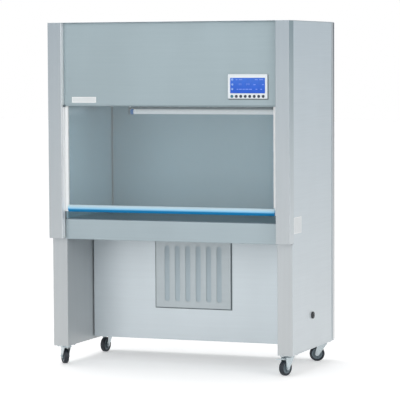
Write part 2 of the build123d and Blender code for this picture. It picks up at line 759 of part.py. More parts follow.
def lamp():
    """A fluorescent tube along the back wall, between the two sockets of its batten."""
    y_axis = y_work_back - LAMP_STANDOFF
    half = LAMP_LENGTH / 2
    pin = LAMP_PIN_SIDE / 2
    with BuildPart() as tube:
        with Locations(Plane(origin=(0, y_axis, lamp_z), z_dir=(1, 0, 0))):
            Cylinder(LAMP_RADIUS - LAMP_CAP_PROUD, LAMP_LENGTH)
        for side in (-1, 1):
            with Locations(Plane(origin=(side * (half - LAMP_CAP / 2), y_axis, lamp_z), z_dir=(1, 0, 0))):
                Cylinder(LAMP_RADIUS, LAMP_CAP)
            for z in (lamp_z - LAMP_PIN, lamp_z + LAMP_PIN):
                with Locations((side * (half + LAMP_PIN / 2), y_axis, z)):
                    Box(LAMP_PIN, LAMP_PIN_SIDE, LAMP_PIN_SIDE)
    write(shifted(tube, LAMP_SHIFT), "lamp_tube")

    y_wall = y_work_back - LAY
    socket_x = half + LAY
    arm_bottom = lamp_z + LAMP_RADIUS + SHEET
    arm_top = arm_bottom + HOLDER_HEIGHT
    x_low = socket_x + SOCKET_WIDTH - HOLDER_WIDTH
    with BuildPart() as holders:
        block((x_low, y_axis - LAMP_RADIUS, arm_bottom), (socket_x + SOCKET_WIDTH, y_wall, arm_top))
        chamfer(holders.edges().filter_by(Axis.X).group_by(Axis.Y)[0], HOLDER_EDGE)
        block((0, y_wall - BATTEN_DEPTH, arm_bottom), (x_low, y_wall, arm_top))
        socket_low = (socket_x, y_axis - LAMP_RADIUS, lamp_z - LAMP_RADIUS)
        block(socket_low, (socket_x + SOCKET_WIDTH, y_axis + LAMP_RADIUS, arm_bottom))
        with Locations((socket_x + LAMP_PIN / 2, y_axis, lamp_z)):
            slot_depth = 2 * (LAMP_PIN + pin + LAY)
            Box(LAMP_PIN + LAY, LAMP_PIN_SIDE + 2 * LAY, slot_depth, mode=Mode.SUBTRACT)
        mirror(about=Plane.YZ)
    write(shifted(holders, LAMP_SHIFT), "lamp_holders")


# ---- Blower --------------------------------------------------------------------------------------
def scroll_outline():
    """Draws the inside of the blower's scroll: quarter turns that grow, then the way up and out."""
    start = TONGUE_ANGLE
    tongue = Vector(
        y_blower + SCROLL_START * math.cos(math.radians(start)),
        blower_z + SCROLL_START * math.sin(math.radians(start)),
    )
    heading = math.radians(start + 90)
    with BuildLine() as outline:
        turn = JernArc(tongue, (math.cos(heading), math.sin(heading)), SCROLL_START, 90 - start)
        for quarter in range(3):
            radius = SCROLL_START + (quarter + 1) * SCROLL_GROWTH
            turn = JernArc(turn @ 1, turn % 1, radius, 90)
        foot = turn @ 1
        Polyline(foot, (foot.X, OUTLET_TOP), (tongue.X, OUTLET_TOP), tongue)
    make_face(outline.line)


def blower_housing():
    """A double-inlet scroll housing on two foot plates, blowing straight up behind the work area."""
    half = BLOWER_WIDTH / 2
    foot_z = base_tray_z + SHEET + LAY
    with BuildPart() as housing:
        with BuildSketch(Plane.YZ):
            scroll_outline()
            offset(amount=SHEET)
        extrude(amount=half + SHEET, both=True)
        for side in (-1, 1):
            with BuildSketch(Plane.YZ.offset(side * half)):
                with Locations((y_blower, (foot_z + blower_z) / 2)):
                    Rectangle(2 * INLET_RADIUS, blower_z - foot_z)
            extrude(amount=side * SHEET)
            with BuildSketch(Plane.XY.offset(foot_z)):
                with Locations((side * (half + FOOT_FLANGE / 2), y_blower)):
                    Rectangle(FOOT_FLANGE, 2 * INLET_RADIUS)
            extrude(amount=SHEET)
            with BuildSketch(Plane.YZ.offset(side * (half - SHEET))):
                with Locations((y_blower, blower_z)):
                    Circle(INLET_RADIUS)
            extrude(amount=side * 4 * SHEET, mode=Mode.SUBTRACT)
        with BuildSketch(Plane.YZ):
            scroll_outline()
        extrude(amount=half, both=True, mode=Mode.SUBTRACT)
        mouth = housing.faces().sort_by(Axis.Z)[-1].center()
        with BuildSketch(Plane.XY.offset(OUTLET_TOP + SHEET)):
            with Locations((mouth.X, mouth.Y)):
                Rectangle(2 * half, OUTLET_DEPTH)
        extrude(amount=-2 * SHEET, mode=Mode.SUBTRACT)
    write(housing, "blower_housing")


def impeller():
    """A drum of forward-leaning blades between two rings, on a disc and a hub."""
    half = IMPELLER_WIDTH / 2
    blade_root = IMPELLER_RADIUS - BLADE_CHORD
    blade_middle = blade_root + BLADE_CHORD / 2
    blade_run = (BLADE_CHORD - BLADE_RING) / math.cos(math.radians(BLADE_PITCH_ANGLE))
    with BuildPart() as wheel:
        with BuildSketch(Plane.YZ):
            with Locations((y_blower, blower_z)):
                with PolarLocations(blade_middle, BLADE_COUNT):
                    Rectangle(blade_run, BLADE_THICKNESS, rotation=BLADE_PITCH_ANGLE)
        extrude(amount=half, both=True)
        for start in (-half, half - BLADE_RING):
            with BuildSketch(Plane.YZ.offset(start)):
                with Locations((y_blower, blower_z)):
                    Circle(IMPELLER_RADIUS)
                    Circle(blade_root, mode=Mode.SUBTRACT)
            extrude(amount=BLADE_RING)
        with BuildSketch(Plane.YZ.offset(-HUB_DISC)):
            with Locations((y_blower, blower_z)):
                Circle(IMPELLER_RADIUS)
        extrude(amount=HUB_DISC)
        with BuildSketch(Plane.YZ.offset(-HUB_LENGTH)):
            with Locations((y_blower, blower_z)):
                Circle(HUB_DIAMETER / 2)
        extrude(amount=HUB_LENGTH)
        with BuildSketch(Plane.YZ.offset(-HUB_LENGTH)):
            with Locations((y_blower, blower_z)):
                Circle(SHAFT_RADIUS + RUNNING)
        extrude(amount=HUB_LENGTH, mode=Mode.SUBTRACT)
    write(wheel, "blower_impeller")


def motor():
    """The motor inside the drum, with its shaft and the three-armed spider that holds it at the inlet."""
    end = BLOWER_WIDTH / 2 + SHEET + LAY
    body_end = MOTOR_GAP + MOTOR_LENGTH
    with BuildPart() as drive:
        with BuildSketch(Plane.YZ.offset(MOTOR_GAP)):
            with Locations((y_blower, blower_z)):
                Circle(MOTOR_RADIUS)
        extrude(amount=MOTOR_LENGTH)
        chamfer(drive.edges().filter_by(GeomType.CIRCLE), MOTOR_EDGE)
        with BuildSketch(Plane.YZ.offset(-HUB_LENGTH)):
            with Locations((y_blower, blower_z)):
                Circle(SHAFT_RADIUS)
        extrude(amount=HUB_LENGTH + MOTOR_GAP)
        with BuildSketch(Plane.YZ.offset(body_end)):
            with Locations((y_blower, blower_z)):
                Circle(MOTOR_BOSS)
        extrude(amount=end + SPIDER_SHEET - body_end)
        with BuildSketch(Plane.YZ.offset(end)):
            with Locations((y_blower, blower_z)):
                with PolarLocations(0, SPIDER_ARMS, start_angle=90):
                    with Locations(((INLET_RADIUS + SPIDER_LAP) / 2, 0)):
                        Rectangle(INLET_RADIUS + SPIDER_LAP, SPIDER_ARM)
        extrude(amount=SPIDER_SHEET)
    write(drive, "blower_motor")


# ---- Controls ------------------------------------------------------------------------------------
def button_places():
    """Where the row of buttons stands on the bezel, from left to right."""
    first = bezel_x - (BUTTON_COUNT - 1) / 2 * BUTTON_PITCH
    return [(first + i * BUTTON_PITCH, BEZEL_Z - BUTTON_DROP) for i in range(BUTTON_COUNT)]


def control_panel():
    """The bezel on the front panel, with the screen and its board behind the window."""
    screen = (bezel_x, BEZEL_Z + SCREEN_RISE)
    with BuildPart() as bezel:
        with BuildSketch(facing_front(y_panel)):
            with Locations((bezel_x, BEZEL_Z)):
                Rectangle(BEZEL_WIDTH, BEZEL_HEIGHT)
            with Locations(screen):
                Rectangle(SCREEN_WIDTH, SCREEN_HEIGHT, mode=Mode.SUBTRACT)
            with Locations(*button_places()):
                Circle(BUTTON_DIAMETER / 2 + LAY, mode=Mode.SUBTRACT)
        extrude(amount=BEZEL_PROUD)
        rim = bezel.faces().sort_by(Axis.X)[0] + bezel.faces().sort_by(Axis.X)[-1]
        chamfer(rim.edges().filter_by(Axis.Y), BEZEL_CORNER)
        chamfer(bezel.faces().sort_by(Axis.Y)[0].outer_wire().edges(), BEZEL_EDGE)
        window = bezel.faces().sort_by(Axis.Y)[0].inner_wires().sort_by(SortBy.LENGTH)[-1]
        chamfer(window.edges(), SCREEN_BEVEL)
    write(bezel, "panel_bezel")

    board_y = y_panel + LAY / 2
    with BuildPart() as display:
        with BuildSketch(facing_front(board_y)):
            with Locations(screen):
                Rectangle(SCREEN_WIDTH - 2 * LAY, SCREEN_HEIGHT - 2 * LAY)
        extrude(amount=BEZEL_PROUD - SCREEN_SUNK)
        with BuildSketch(facing_front(board_y)):
            with Locations((bezel_x, BEZEL_Z)):
                board_width = BEZEL_WIDTH - 2 * BOARD_MARGIN - 2 * SEAM
                Rectangle(board_width, BEZEL_HEIGHT - 2 * BOARD_MARGIN - 2 * SEAM)
        extrude(amount=-BOARD_DEPTH)
    write(display, "lcd_screen")


def buttons():
    """Eight round push buttons with bevelled tops, each free to travel inwards."""
    foot_y = y_panel - BUTTON_TRAVEL - LAY
    for number, (x, z) in enumerate(button_places(), start=1):
        with BuildPart() as button:
            with BuildSketch(facing_front(foot_y)):
                with Locations((x, z)):
                    Circle(BUTTON_DIAMETER / 2)
            extrude(amount=foot_y - (bezel_y - BUTTON_PROUD))
            chamfer(button.faces().sort_by(Axis.Y)[0].edges(), BUTTON_EDGE)
        write(button, f"button_{number}")


def cable_gland():
    """The threaded gland through the right side panel, with its nut inside."""
    seat = Plane(origin=(x_out, GLAND_Y, GLAND_Z), z_dir=(1, 0, 0))
    nut_face = seat.offset(-SHEET - LAY)
    with BuildPart() as gland:
        with BuildSketch(seat.offset(LAY)):
            Circle(GLAND_DIAMETER / 2)
        extrude(amount=GLAND_PROUD - LAY)
        chamfer(gland.faces().sort_by(Axis.X)[-1].edges(), GLAND_EDGE)
        with BuildSketch(nut_face.offset(-2 * GLAND_NUT)):
            Circle(GLAND_THREAD / 2)
        extrude(amount=2 * GLAND_NUT + SHEET + 2 * LAY)
        with BuildSketch(nut_face):
            RegularPolygon(GLAND_DIAMETER / 2, 6)
        extrude(amount=-GLAND_NUT)
        with Locations(seat.offset(GLAND_PROUD)):
            Hole(radius=GLAND_BORE / 2)
    write(gland, "cable_gland")


# ---- Castors -------------------------------------------------------------------------------------
# Each castor is drawn with its swivel axis on Z and its wheel trailing along +X, then turned into place.
def castor_places():
    """Where each castor stands and which way it trails."""
    x = x_out - CASTOR_INSET
    y_ahead = y_front + CASTOR_FRONT_INSET
    y_behind = y_back - CASTOR_REAR_INSET
    corners = {"fl": (-x, y_ahead), "fr": (x, y_ahead), "rl": (-x, y_behind), "rr": (x, y_behind)}
    return {name: Location((*place, 0), (0, 0, CASTOR_TURN[name])) for name, place in corners.items()}


def castor_mounts():
    """The four top plates, each with its bearing cup and king pin."""
    top = castor_top - LAY
    pin_foot = top - MOUNT_PLATE - RACE_HEIGHT - FORK_SHEET - 2 * LAY
    with BuildPart() as plates:
        for place in castor_places().values():
            with BuildSketch(Plane.XY.offset(top)):
                with Locations(place.position):
                    Rectangle(MOUNT_WIDTH, MOUNT_LENGTH)
            extrude(amount=-MOUNT_PLATE)
            with BuildSketch(Plane.XY.offset(top - MOUNT_PLATE)):
                with Locations(place.position):
                    Circle(RACE_RADIUS)
            extrude(amount=-RACE_HEIGHT, taper=RACE_TAPER)
            with BuildSketch(Plane.XY.offset(top - MOUNT_PLATE)):
                with Locations(place.position):
                    Circle(KING_PIN)
            extrude(amount=pin_foot - top + MOUNT_PLATE)
            with BuildSketch(Plane.XY.offset(pin_foot)):
                with Locations(place.position):
                    RegularPolygon(KING_NUT, 6)
            extrude(amount=-AXLE_NUT)
        chamfer(plates.edges().filter_by(Axis.Z).group_by(SortBy.LENGTH)[0], MOUNT_CORNER)
    write(plates, "caster_plates")


def castor_forks():
    """Pressed forks: a crowned head, two tapered cheeks and the axle riveted through them."""
    head_z = castor_top - LAY - MOUNT_PLATE - RACE_HEIGHT - LAY
    axle_z = WHEEL_DIAMETER / 2
    cheek_y = WHEEL_WIDTH / 2 + FORK_GAP
    pedal_z = castor_top - PEDAL_PIVOT_DROP
    for name, place in castor_places().items():
        ear = PEDAL_PIVOT + 2 * PEDAL_PIN if name in BRAKED else FORK_HEAD
        with BuildPart() as fork:
            with BuildSketch(Plane.XZ.offset(cheek_y)):
                with BuildLine():
                    tip = CenterArc((TRAIL, axle_z), FORK_TIP, FORK_TIP_START, FORK_TIP_SWEEP)
                    shoulder = (ear, head_z - FORK_DROP)
                    Polyline(tip @ 1, shoulder, (ear, head_z), (-FORK_BACK, head_z), tip @ 0)
                make_face()
            extrude(amount=FORK_SHEET)
            mirror(about=Plane.XZ)
            with BuildSketch(Plane.XY.offset(head_z)):
                Rectangle(2 * FORK_BACK, 2 * (cheek_y + FORK_HEAD_LAP))
            extrude(amount=-FORK_SHEET)
            with BuildSketch(Plane.XY.offset(head_z)):
                Circle(KING_PIN + RUNNING)
            extrude(amount=-2 * FORK_SHEET, mode=Mode.SUBTRACT)
            with BuildSketch(Plane.XZ.offset(-cheek_y - FORK_SHEET)):
                with Locations((TRAIL, axle_z)):
                    Circle(AXLE_RADIUS)
            extrude(amount=2 * (cheek_y + FORK_SHEET))
            for side in (-1, 1):
                with BuildSketch(Plane.XZ.offset(side * (cheek_y + FORK_SHEET))):
                    with Locations((TRAIL, axle_z)):
                        RegularPolygon(AXLE_HEX, 6)
                extrude(amount=side * AXLE_NUT)
            if name in BRAKED:
                with BuildSketch(Plane.XZ.offset(-cheek_y - FORK_SHEET)):
                    with Locations((PEDAL_PIVOT, pedal_z)):
                        Circle(PEDAL_PIN)
                extrude(amount=2 * (cheek_y + FORK_SHEET))
        with BuildPart() as placed:
            with Locations(place):
                add(fork.part)
        write(placed, f"caster_fork_{name}")


def castor_wheels():
    """Wheels with a bevelled tread and dished sides."""
    half = WHEEL_WIDTH / 2
    radius = WHEEL_DIAMETER / 2
    with BuildPart() as wheel:
        with BuildSketch(Plane.XY):
            with BuildLine():
                Polyline(
                    (AXLE_RADIUS + RUNNING, -half),
                    (AXLE_RADIUS + RUNNING, half),
                    (HUB_RADIUS, half - HUB_RECESS),
                    (radius - WHEEL_EDGE, half),
                    (radius, half - WHEEL_EDGE),
                    (radius, WHEEL_EDGE - half),
                    (radius - WHEEL_EDGE, -half),
                    (HUB_RADIUS, HUB_RECESS - half),
                    close=True,
                )
            make_face()
        revolve(axis=Axis.Y)
    for name, place in castor_places().items():
        with BuildPart() as placed:
            with Locations(place * Location((TRAIL, 0, radius))):
                add(wheel.part)
        write(placed, f"caster_wheel_{name}")


def brake_pedals():
    """Pressed pedals on the front castors, pivoted between the fork's ears."""
    half = WHEEL_WIDTH / 2 + FORK_GAP - LAY
    eye = PEDAL_PIN + RUNNING
    pedal_z = castor_top - PEDAL_PIVOT_DROP
    pivot = (PEDAL_PIVOT, pedal_z)
    under = pedal_z - eye - PEDAL_SHEET
    tip = (PEDAL_REACH, under + PEDAL_RISE)
    knee = (PEDAL_PIVOT + PEDAL_KNEE, under + PEDAL_SHEET / 2)
    with BuildPart() as pedal:
        with BuildSketch(Plane.XZ.offset(-half)):
            with BuildLine() as strap:
                Polyline((PEDAL_PIVOT, under), knee, tip)
                offset(amount=PEDAL_SHEET, side=Side.LEFT)
            make_face(strap.line)
            with Locations(pivot):
                Circle(eye + PEDAL_SHEET)
                Circle(eye, mode=Mode.SUBTRACT)
        extrude(amount=2 * half)
        with BuildSketch(Plane.XY.offset(under + PEDAL_RISE - PEDAL_SHEET)):
            with Locations((PEDAL_REACH - PEDAL_WIDTH / 2, 0)):
                pad = Rectangle(PEDAL_WIDTH, PEDAL_WIDTH)
                chamfer(pad.vertices(), PEDAL_CORNER)
        extrude(amount=PEDAL_SHEET)
    for name in BRAKED:
        with BuildPart() as placed:
            with Locations(castor_places()[name]):
                add(pedal.part)
        write(placed, f"brake_pedal_{name}")


front_columns()
front_panel()
side_panels()
top_cover()
rear_covers()
leg_boxes()
knee_panel()
base_tray()
intake_grille()
prefilter()
worktop()
work_walls()
guide_rails()
sash()
counterweights()
pulleys()
plenum()
main_filter()
diffuser_plate()
lamp()
blower_housing()
impeller()
motor()
control_panel()
buttons()
cable_gland()
castor_mounts()
castor_forks()
castor_wheels()
brake_pedals()
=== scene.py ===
import json
import math

import bmesh
import bpy
from mathutils import Matrix, Vector


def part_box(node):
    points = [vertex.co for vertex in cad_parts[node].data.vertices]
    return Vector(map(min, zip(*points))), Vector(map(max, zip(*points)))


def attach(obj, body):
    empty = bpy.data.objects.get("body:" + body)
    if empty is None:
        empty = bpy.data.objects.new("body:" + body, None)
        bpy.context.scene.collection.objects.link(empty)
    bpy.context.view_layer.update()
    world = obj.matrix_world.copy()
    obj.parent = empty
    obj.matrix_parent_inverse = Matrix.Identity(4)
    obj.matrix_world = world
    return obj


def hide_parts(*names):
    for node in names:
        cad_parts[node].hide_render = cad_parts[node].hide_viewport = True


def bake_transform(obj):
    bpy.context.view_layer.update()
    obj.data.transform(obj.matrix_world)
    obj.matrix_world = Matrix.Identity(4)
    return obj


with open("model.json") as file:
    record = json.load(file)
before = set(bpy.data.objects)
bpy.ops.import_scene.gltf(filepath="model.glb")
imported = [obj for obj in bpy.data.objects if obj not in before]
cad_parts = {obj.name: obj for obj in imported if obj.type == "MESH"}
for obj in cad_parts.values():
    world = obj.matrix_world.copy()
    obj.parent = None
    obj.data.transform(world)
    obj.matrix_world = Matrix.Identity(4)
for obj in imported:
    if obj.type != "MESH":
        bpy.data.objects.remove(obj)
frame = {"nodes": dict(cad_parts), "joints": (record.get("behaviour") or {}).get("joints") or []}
nodes = frame["nodes"]
joints = {joint["name"]: joint for joint in frame["joints"]}
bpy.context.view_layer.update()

# ---- Camera, matched to the photograph's 400 x 400 frame (metres, radians, pixels) ---------------
CAMERA_PLACE = Vector((3.9188, -10.0673, 1.4998))
CAMERA_YAW = 0.368
CAMERA_PITCH = 0.064
CAMERA_ROLL = -0.005
FOCAL_PIXELS = 2196.7
IMAGE_PIXELS = 400
SENSOR_MM = 36.0
CLIP_END = 100

# ---- Light ---------------------------------------------------------------------------------------
SKY_LEVEL = 0.36
KEY_LEVEL = 1.0
KEY_FROM = Vector((-0.35, 0.25, 1.6))
KEY_SOFTNESS = math.radians(40)
KEY_REACH = 5
# Power, place and size of each area lamp.
FILLS = {"right": (112.0, (5.5, -3.5, 2.6), 4.0), "front": (118.0, (-1.6, -7.0, 2.9), 5.0)}
FILL_AIM = (0, 0, 0.8)
FLOOR_LIFT = 0.36
FLOOR_HALF = 40

# ---- Sizes of the pieces made here, in metres ----------------------------------------------------
ROUNDED_EDGE = 0.002
SMALL_EDGE = 0.0004
FINE_EDGE = 0.0003
PLATE_FRONT = ((-0.506, -0.316, 1.292), (-0.378, -0.315, 1.320))
PLATE_SIDE = ((0.620, -0.286, 0.675), (0.621, -0.173, 0.753))
PLATE_BORDER = 0.004
FIELD_PROUD = 0.0001
FIELD_EDGE = 0.00005
STOP_SIZE = Vector((0.009, 0.010, 0.009))
STOP_DROP = 0.009
TRIM_Y = (0.3190, 0.3445)
TRIM_SEAM = 0.014
TRIM_PROUD = 0.0008
END_MARGIN = 0.002
HEM_HEIGHT = 0.005
HEM_DEPTH = 0.0065
BEAD = 0.0065
# The left column's side that faces the work area, on this side of this x, is painted white as painted
# light.
COLUMN_MIDDLE = -0.585
# Heights between which a steel surface blends from one colour to the other; that blend is painted
# reflection and shade, not a change in the steel.
FOOT, HEAD = 0.1, 1.68
# Above this height the apron is the top sheet, with its own gloss and a brighter colour that is a
# painted sheen.
TOP_SHEET = 0.7275
TOP_SHEET_ROUGHNESS = 0.12
# Two corners of the white bead down the sash's right edge only; its white is a painted highlight along
# that edge.
WHITE_BEAD = ((0.5270, -0.3064, 0.797), (0.5333, -0.3030, 1.311))
WHITE_BEAD_EDGE = 0.0008
# Sizes of the dark strip under and right of the bezel, which is painted shadow.
BEZEL_SHADOW_UNDER = 0.0048
BEZEL_SHADOW_RIGHT = 0.003
BEZEL_SHADOW_LEFT = 0.001
BEZEL_SHADOW_THICKNESS = 0.001
BEZEL_SHADOW_SHORT = 0.004
LAMP_DOT = Vector((0.0058, -0.0002, 0.026))
LAMP_DOT_OUTLINE = ((0.0, 0.0040), (0.002, 0.0038), (0.0028, 0.0026))
LAMP_CAP = 0.023
LAMP_CAP_BLEND = 0.0002
MARK_DEPTH = 0.0003
FIGURE_HEIGHT = 0.0085
DASH_HEIGHT = 0.0042
RING_RADII = (0.0022, 0.0046)
RING_PLACE = 0.075
RING_RISE = 0.003
# Rows and spans of the marks, as shares of the screen's height and width.
ROWS = {"top": 0.80, "upper": 0.56, "lower": 0.34, "foot": 0.12}
DASHES = {
    "top": ((0.17, 0.22), (0.26, 0.35), (0.70, 0.78), (0.82, 0.93)),
    "upper": ((0.66, 0.72), (0.90, 0.95)),
    "lower": (
        (0.20, 0.24), (0.26, 0.34), (0.36, 0.42), (0.44, 0.52), (0.54, 0.62), (0.72, 0.77),
        (0.85, 0.90),
    ),
    "foot": ((0.22, 0.30), (0.32, 0.40), (0.72, 0.80), (0.82, 0.92)),
}
FIGURES = ((0.24, "105"), (0.46, "240"))
# The segments that each figure lights.
DIGITS = {"0": "abcdef", "1": "bc", "2": "abged", "4": "fgbc", "5": "afgcd"}
# Width and depth of the dark ring round the intake grille, which is painted shadow.
GASKET = 0.005
GASKET_PROUD = 0.0015
GAUZE_SETBACK = 0.0025
GAUZE_MARGIN = 0.01
GAUZE_THICKNESS = 0.001
GAUZE_PITCH = 260.0
TYRE_INNER = 0.0265
TYRE_HALF = 0.0124
TYRE_SHOULDER = 0.006
TYRE_SIDE = 0.0025
HUB_HALF = 0.0122
HUB_CHAMFER = 0.001
HUB_DRAFT = 0.0015
HUB_BORE = 0.0053
BOSS_RADIUS = 0.0105
WEB_HALF = 0.004
RIM_INNER = 0.0215
RIM_HALF = 0.0092
SPOKES = 5
RIB_LAP = 0.001
RIB_HALF = Vector((0.0012, 0.0088))
BOLT_SPACING = Vector((0.0255, 0.0385))
BOLT_RADIUS = 0.0055
BOLT_HEIGHT = 0.0035
PLATE_THICKNESS = 0.003
CABLE_RADIUS = 0.0015
CROWN_STEPS = 24
RUN_STEPS = 40
CORNERS = ("fl", "fr", "rl", "rr")


def srgb(red, green, blue):
    """A colour given in 0-255 display values, as linear values."""
    def linear(value):
        value /= 255
        return value / 12.92 if value <= 0.04045 else ((value + 0.055) / 1.055) ** 2.4

    return (linear(red), linear(green), linear(blue), 1.0)


WHITE = srgb(250, 252, 253)


# ---- Node materials ------------------------------------------------------------------------------
class Shader:
    """A Principled material with short calls for the nodes that feed it."""

    def __init__(self, name, color, roughness=0.5, metallic=0.0, **inputs):
        self.material = bpy.data.materials.new(name)
        self.material.use_nodes = True
        self.tree = self.material.node_tree
        self.principled = self.tree.nodes["Principled BSDF"]
        self.set(Base_Color=color, Roughness=roughness, Metallic=metallic, **inputs)

    def set(self, **inputs):
        for key, value in inputs.items():
            self.principled.inputs[key.replace("_", " ")].default_value = value

    def node(self, kind, **inputs):
        made = self.tree.nodes.new(kind)
        for key, value in inputs.items():
            made.inputs[key.replace("_", " ")].default_value = value
        return made

    def link(self, start, end):
        self.tree.links.new(start, end)

    def coords(self, scale=(1, 1, 1), kind="Object"):
        """Object coordinates in metres, scaled."""
        place = self.node("ShaderNodeTexCoord")
        mapping = self.node("ShaderNodeMapping", Scale=scale)
        self.link(place.outputs[kind], mapping.inputs["Vector"])
        return mapping.outputs["Vector"]

    def noise(self, scale, detail=4.0, stretch=(1, 1, 1), roughness=0.55):
        made = self.node("ShaderNodeTexNoise", Scale=scale, Detail=detail, Roughness=roughness)
        self.link(self.coords(stretch), made.inputs["Vector"])
        return made.outputs["Fac"]

    def wave(self, scale, direction="DIAGONAL"):
        made = self.node("ShaderNodeTexWave", Scale=scale)
        made.bands_direction = direction
        self.link(self.coords(), made.inputs["Vector"])
        return made.outputs["Fac"]

    def ramp(self, value, low, high, start=0.0, end=1.0):
        """Turns a range of plain numbers into another."""
        made = self.node("ShaderNodeMapRange")
        made.inputs["From Min"].default_value = start
        made.inputs["From Max"].default_value = end
        made.inputs["To Min"].default_value = low
        made.inputs["To Max"].default_value = high
        self.link(value, made.inputs["Value"])
        return made.outputs["Result"]

    def axis(self, letter, kind="Object"):
        """One object coordinate, in metres."""
        split = self.node("ShaderNodeSeparateXYZ")
        self.link(self.coords(kind=kind), split.inputs["Vector"])
        return split.outputs[letter]

    def math(self, operation, first, second=0.0):
        """One sum; the second number may be a socket."""
        made = self.node("ShaderNodeMath")
        made.operation = operation
        self.link(first, made.inputs[0])
        if isinstance(second, bpy.types.NodeSocket):
            self.link(second, made.inputs[1])
        else:
            made.inputs[1].default_value = second
        return made.outputs[0]

    def facing(self, letter):
        """How far a face looks along one axis, either way."""
        return self.ramp(self.math("ABSOLUTE", self.axis(letter, "Normal")), 0.0, 1.0, 0.3, 0.8)

    def gradient(self, letter, stops):
        """Runs through (metres, colour) stops along one axis."""
        first, last = stops[0][0], stops[-1][0]
        made = self.node("ShaderNodeValToRGB")
        elements = made.color_ramp.elements
        elements[0].color = stops[0][1]
        elements[1].color = stops[-1][1]
        for place, color in stops[1:-1]:
            elements.new((place - first) / (last - first)).color = color
        self.link(self.ramp(self.axis(letter), 0.0, 1.0, first, last), made.inputs["Fac"])
        return made.outputs["Color"]

    def mix(self, factor, first, second, mode="MIX"):
        """Mixes two colours; each is a colour or a socket."""
        made = self.tree.nodes.new("ShaderNodeMix")
        made.data_type = "RGBA"
        made.blend_type = mode
        sockets = {"Factor": 0, "A": 6, "B": 7}
        for key, value in (("Factor", factor), ("A", first), ("B", second)):
            socket = made.inputs[sockets[key]]
            if isinstance(value, bpy.types.NodeSocket):
                self.link(value, socket)
            else:
                socket.default_value = value
        return made.outputs[2]

    def vary(self, tint, noise, depth):
        """Makes a tint a little lighter and darker where the noise says."""
        return self.mix(1.0, tint, self.ramp(noise, 1 - depth, 1 + depth, 0.3, 0.7), "MULTIPLY")

    def color(self, socket):
        self.link(socket, self.principled.inputs["Base Color"])

    def rough(self, socket):
        self.link(socket, self.principled.inputs["Roughness"])

    def bump(self, height, strength, distance=0.001):
        made = self.node("ShaderNodeBump", Strength=strength, Distance=distance)
        self.link(height, made.inputs["Height"])
        self.link(made.outputs["Normal"], self.principled.inputs["Normal"])


def steel(name, foot, head=None, side=None, side_from=None, grain="X", cloud=0.025,
          roughness=0.42, metallic=0.4, relief=0.04, polish_and_painted_sheen=None):
    """Brushed stainless sheet in one colour, or with painted shade and reflection that change it evenly
    from the foot of the bench to its head.

    side gives the two colours of the faces that look along X, beyond side_from where that is set; they
    are painted light and shade on those faces.
    The last argument gives a height, and the roughness and colour of the sheet above it; that colour is
    a painted sheen."""
    made = Shader(name, foot, roughness, metallic)
    # The blend from foot to head is painted reflection and shade.
    tint = made.gradient("Z", [(FOOT, foot), (HEAD, head or foot)])
    # The faces that look along X get their own pair of colours as painted light and shade.
    if side:
        where = made.facing("X")
        if side_from is not None:
            where = made.math("MULTIPLY", where, made.math("GREATER_THAN", made.axis("X"), side_from))
        tint = made.mix(where, tint, made.gradient("Z", [(FOOT, side[0]), (HEAD, side[1])]))
    # Above the given height the colour turns to a painted sheen; the lower roughness there is real
    # gloss.
    if polish_and_painted_sheen:
        above = made.math("GREATER_THAN", made.axis("Z"), polish_and_painted_sheen[0])
        tint = made.mix(above, tint, polish_and_painted_sheen[2])
    along = {"X": (2, 500, 500), "Y": (500, 2, 500), "Z": (500, 500, 2)}[grain]
    wide = {"X": (4, 4, 1.4), "Y": (5, 4, 1.4), "Z": (6, 6, 1.2)}[grain]
    streak = {"X": (3, 90, 90), "Y": (90, 3, 90), "Z": (90, 90, 3)}[grain]
    fine = made.noise(1.0, 3.0, along)
    tint = made.vary(tint, made.noise(1.0, 2.0, wide), cloud)
    tint = made.vary(tint, made.noise(1.0, 2.0, streak), 0.012)
    made.color(tint)
    gloss = made.ramp(fine, roughness - 0.06, roughness + 0.06, 0.3, 0.7)
    if polish_and_painted_sheen:
        gloss = made.math("SUBTRACT", gloss, made.math("MULTIPLY", above, roughness - polish_and_painted_sheen[1]))
    made.rough(gloss)
    made.bump(fine, relief, 0.0003)
    return made.material


def plain(name, color, roughness=0.45, metallic=0.0, grain=0.05, scale=900.0, cloud=0.02, **inputs):
    """A moulded or coated surface with faint clouds and a fine texture in its gloss and relief."""
    made = Shader(name, color, roughness, metallic, **inputs)
    fine = made.noise(scale, 3.0)
    made.color(made.vary(color, made.noise(30.0, 2.0), cloud))
    made.rough(made.ramp(fine, max(roughness - 0.08, 0.02), roughness + 0.08, 0.3, 0.7))
    made.bump(fine, grain, 0.0003)
    return made.material


def paint(node, material):
    """Gives a CAD node one material."""
    mesh = nodes[node].data
    mesh.materials.clear()
    mesh.materials.append(material)


# ---- Mesh pieces ---------------------------------------------------------------------------------
def piece(name, made, material, body, smooth=False):
    """Turns a bmesh into an object that rides on a body."""
    bmesh.ops.recalc_face_normals(made, faces=made.faces)
    for face in made.faces:
        face.smooth = smooth
    mesh = bpy.data.meshes.new(name)
    made.to_mesh(mesh)
    made.free()
    mesh.materials.append(material)
    thing = bpy.data.objects.new(name, mesh)
    bpy.context.scene.collection.objects.link(thing)
    if body:
        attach(thing, body)
    return thing


def slab(made, low, high, edge=0.0, segments=2):
    """Adds a box between two corners, with broken edges."""
    low, high = Vector(low), Vector(high)
    scale = Matrix.Diagonal((*(high - low), 1))
    block = bmesh.ops.create_cube(made, size=1, matrix=Matrix.Translation((low + high) / 2) @ scale)
    if edge:
        edges = {e for v in block["verts"] for e in v.link_edges}
        bmesh.ops.bevel(
            made, geom=list(edges), offset=edge, segments=segments, profile=0.5, affect="EDGES"
        )


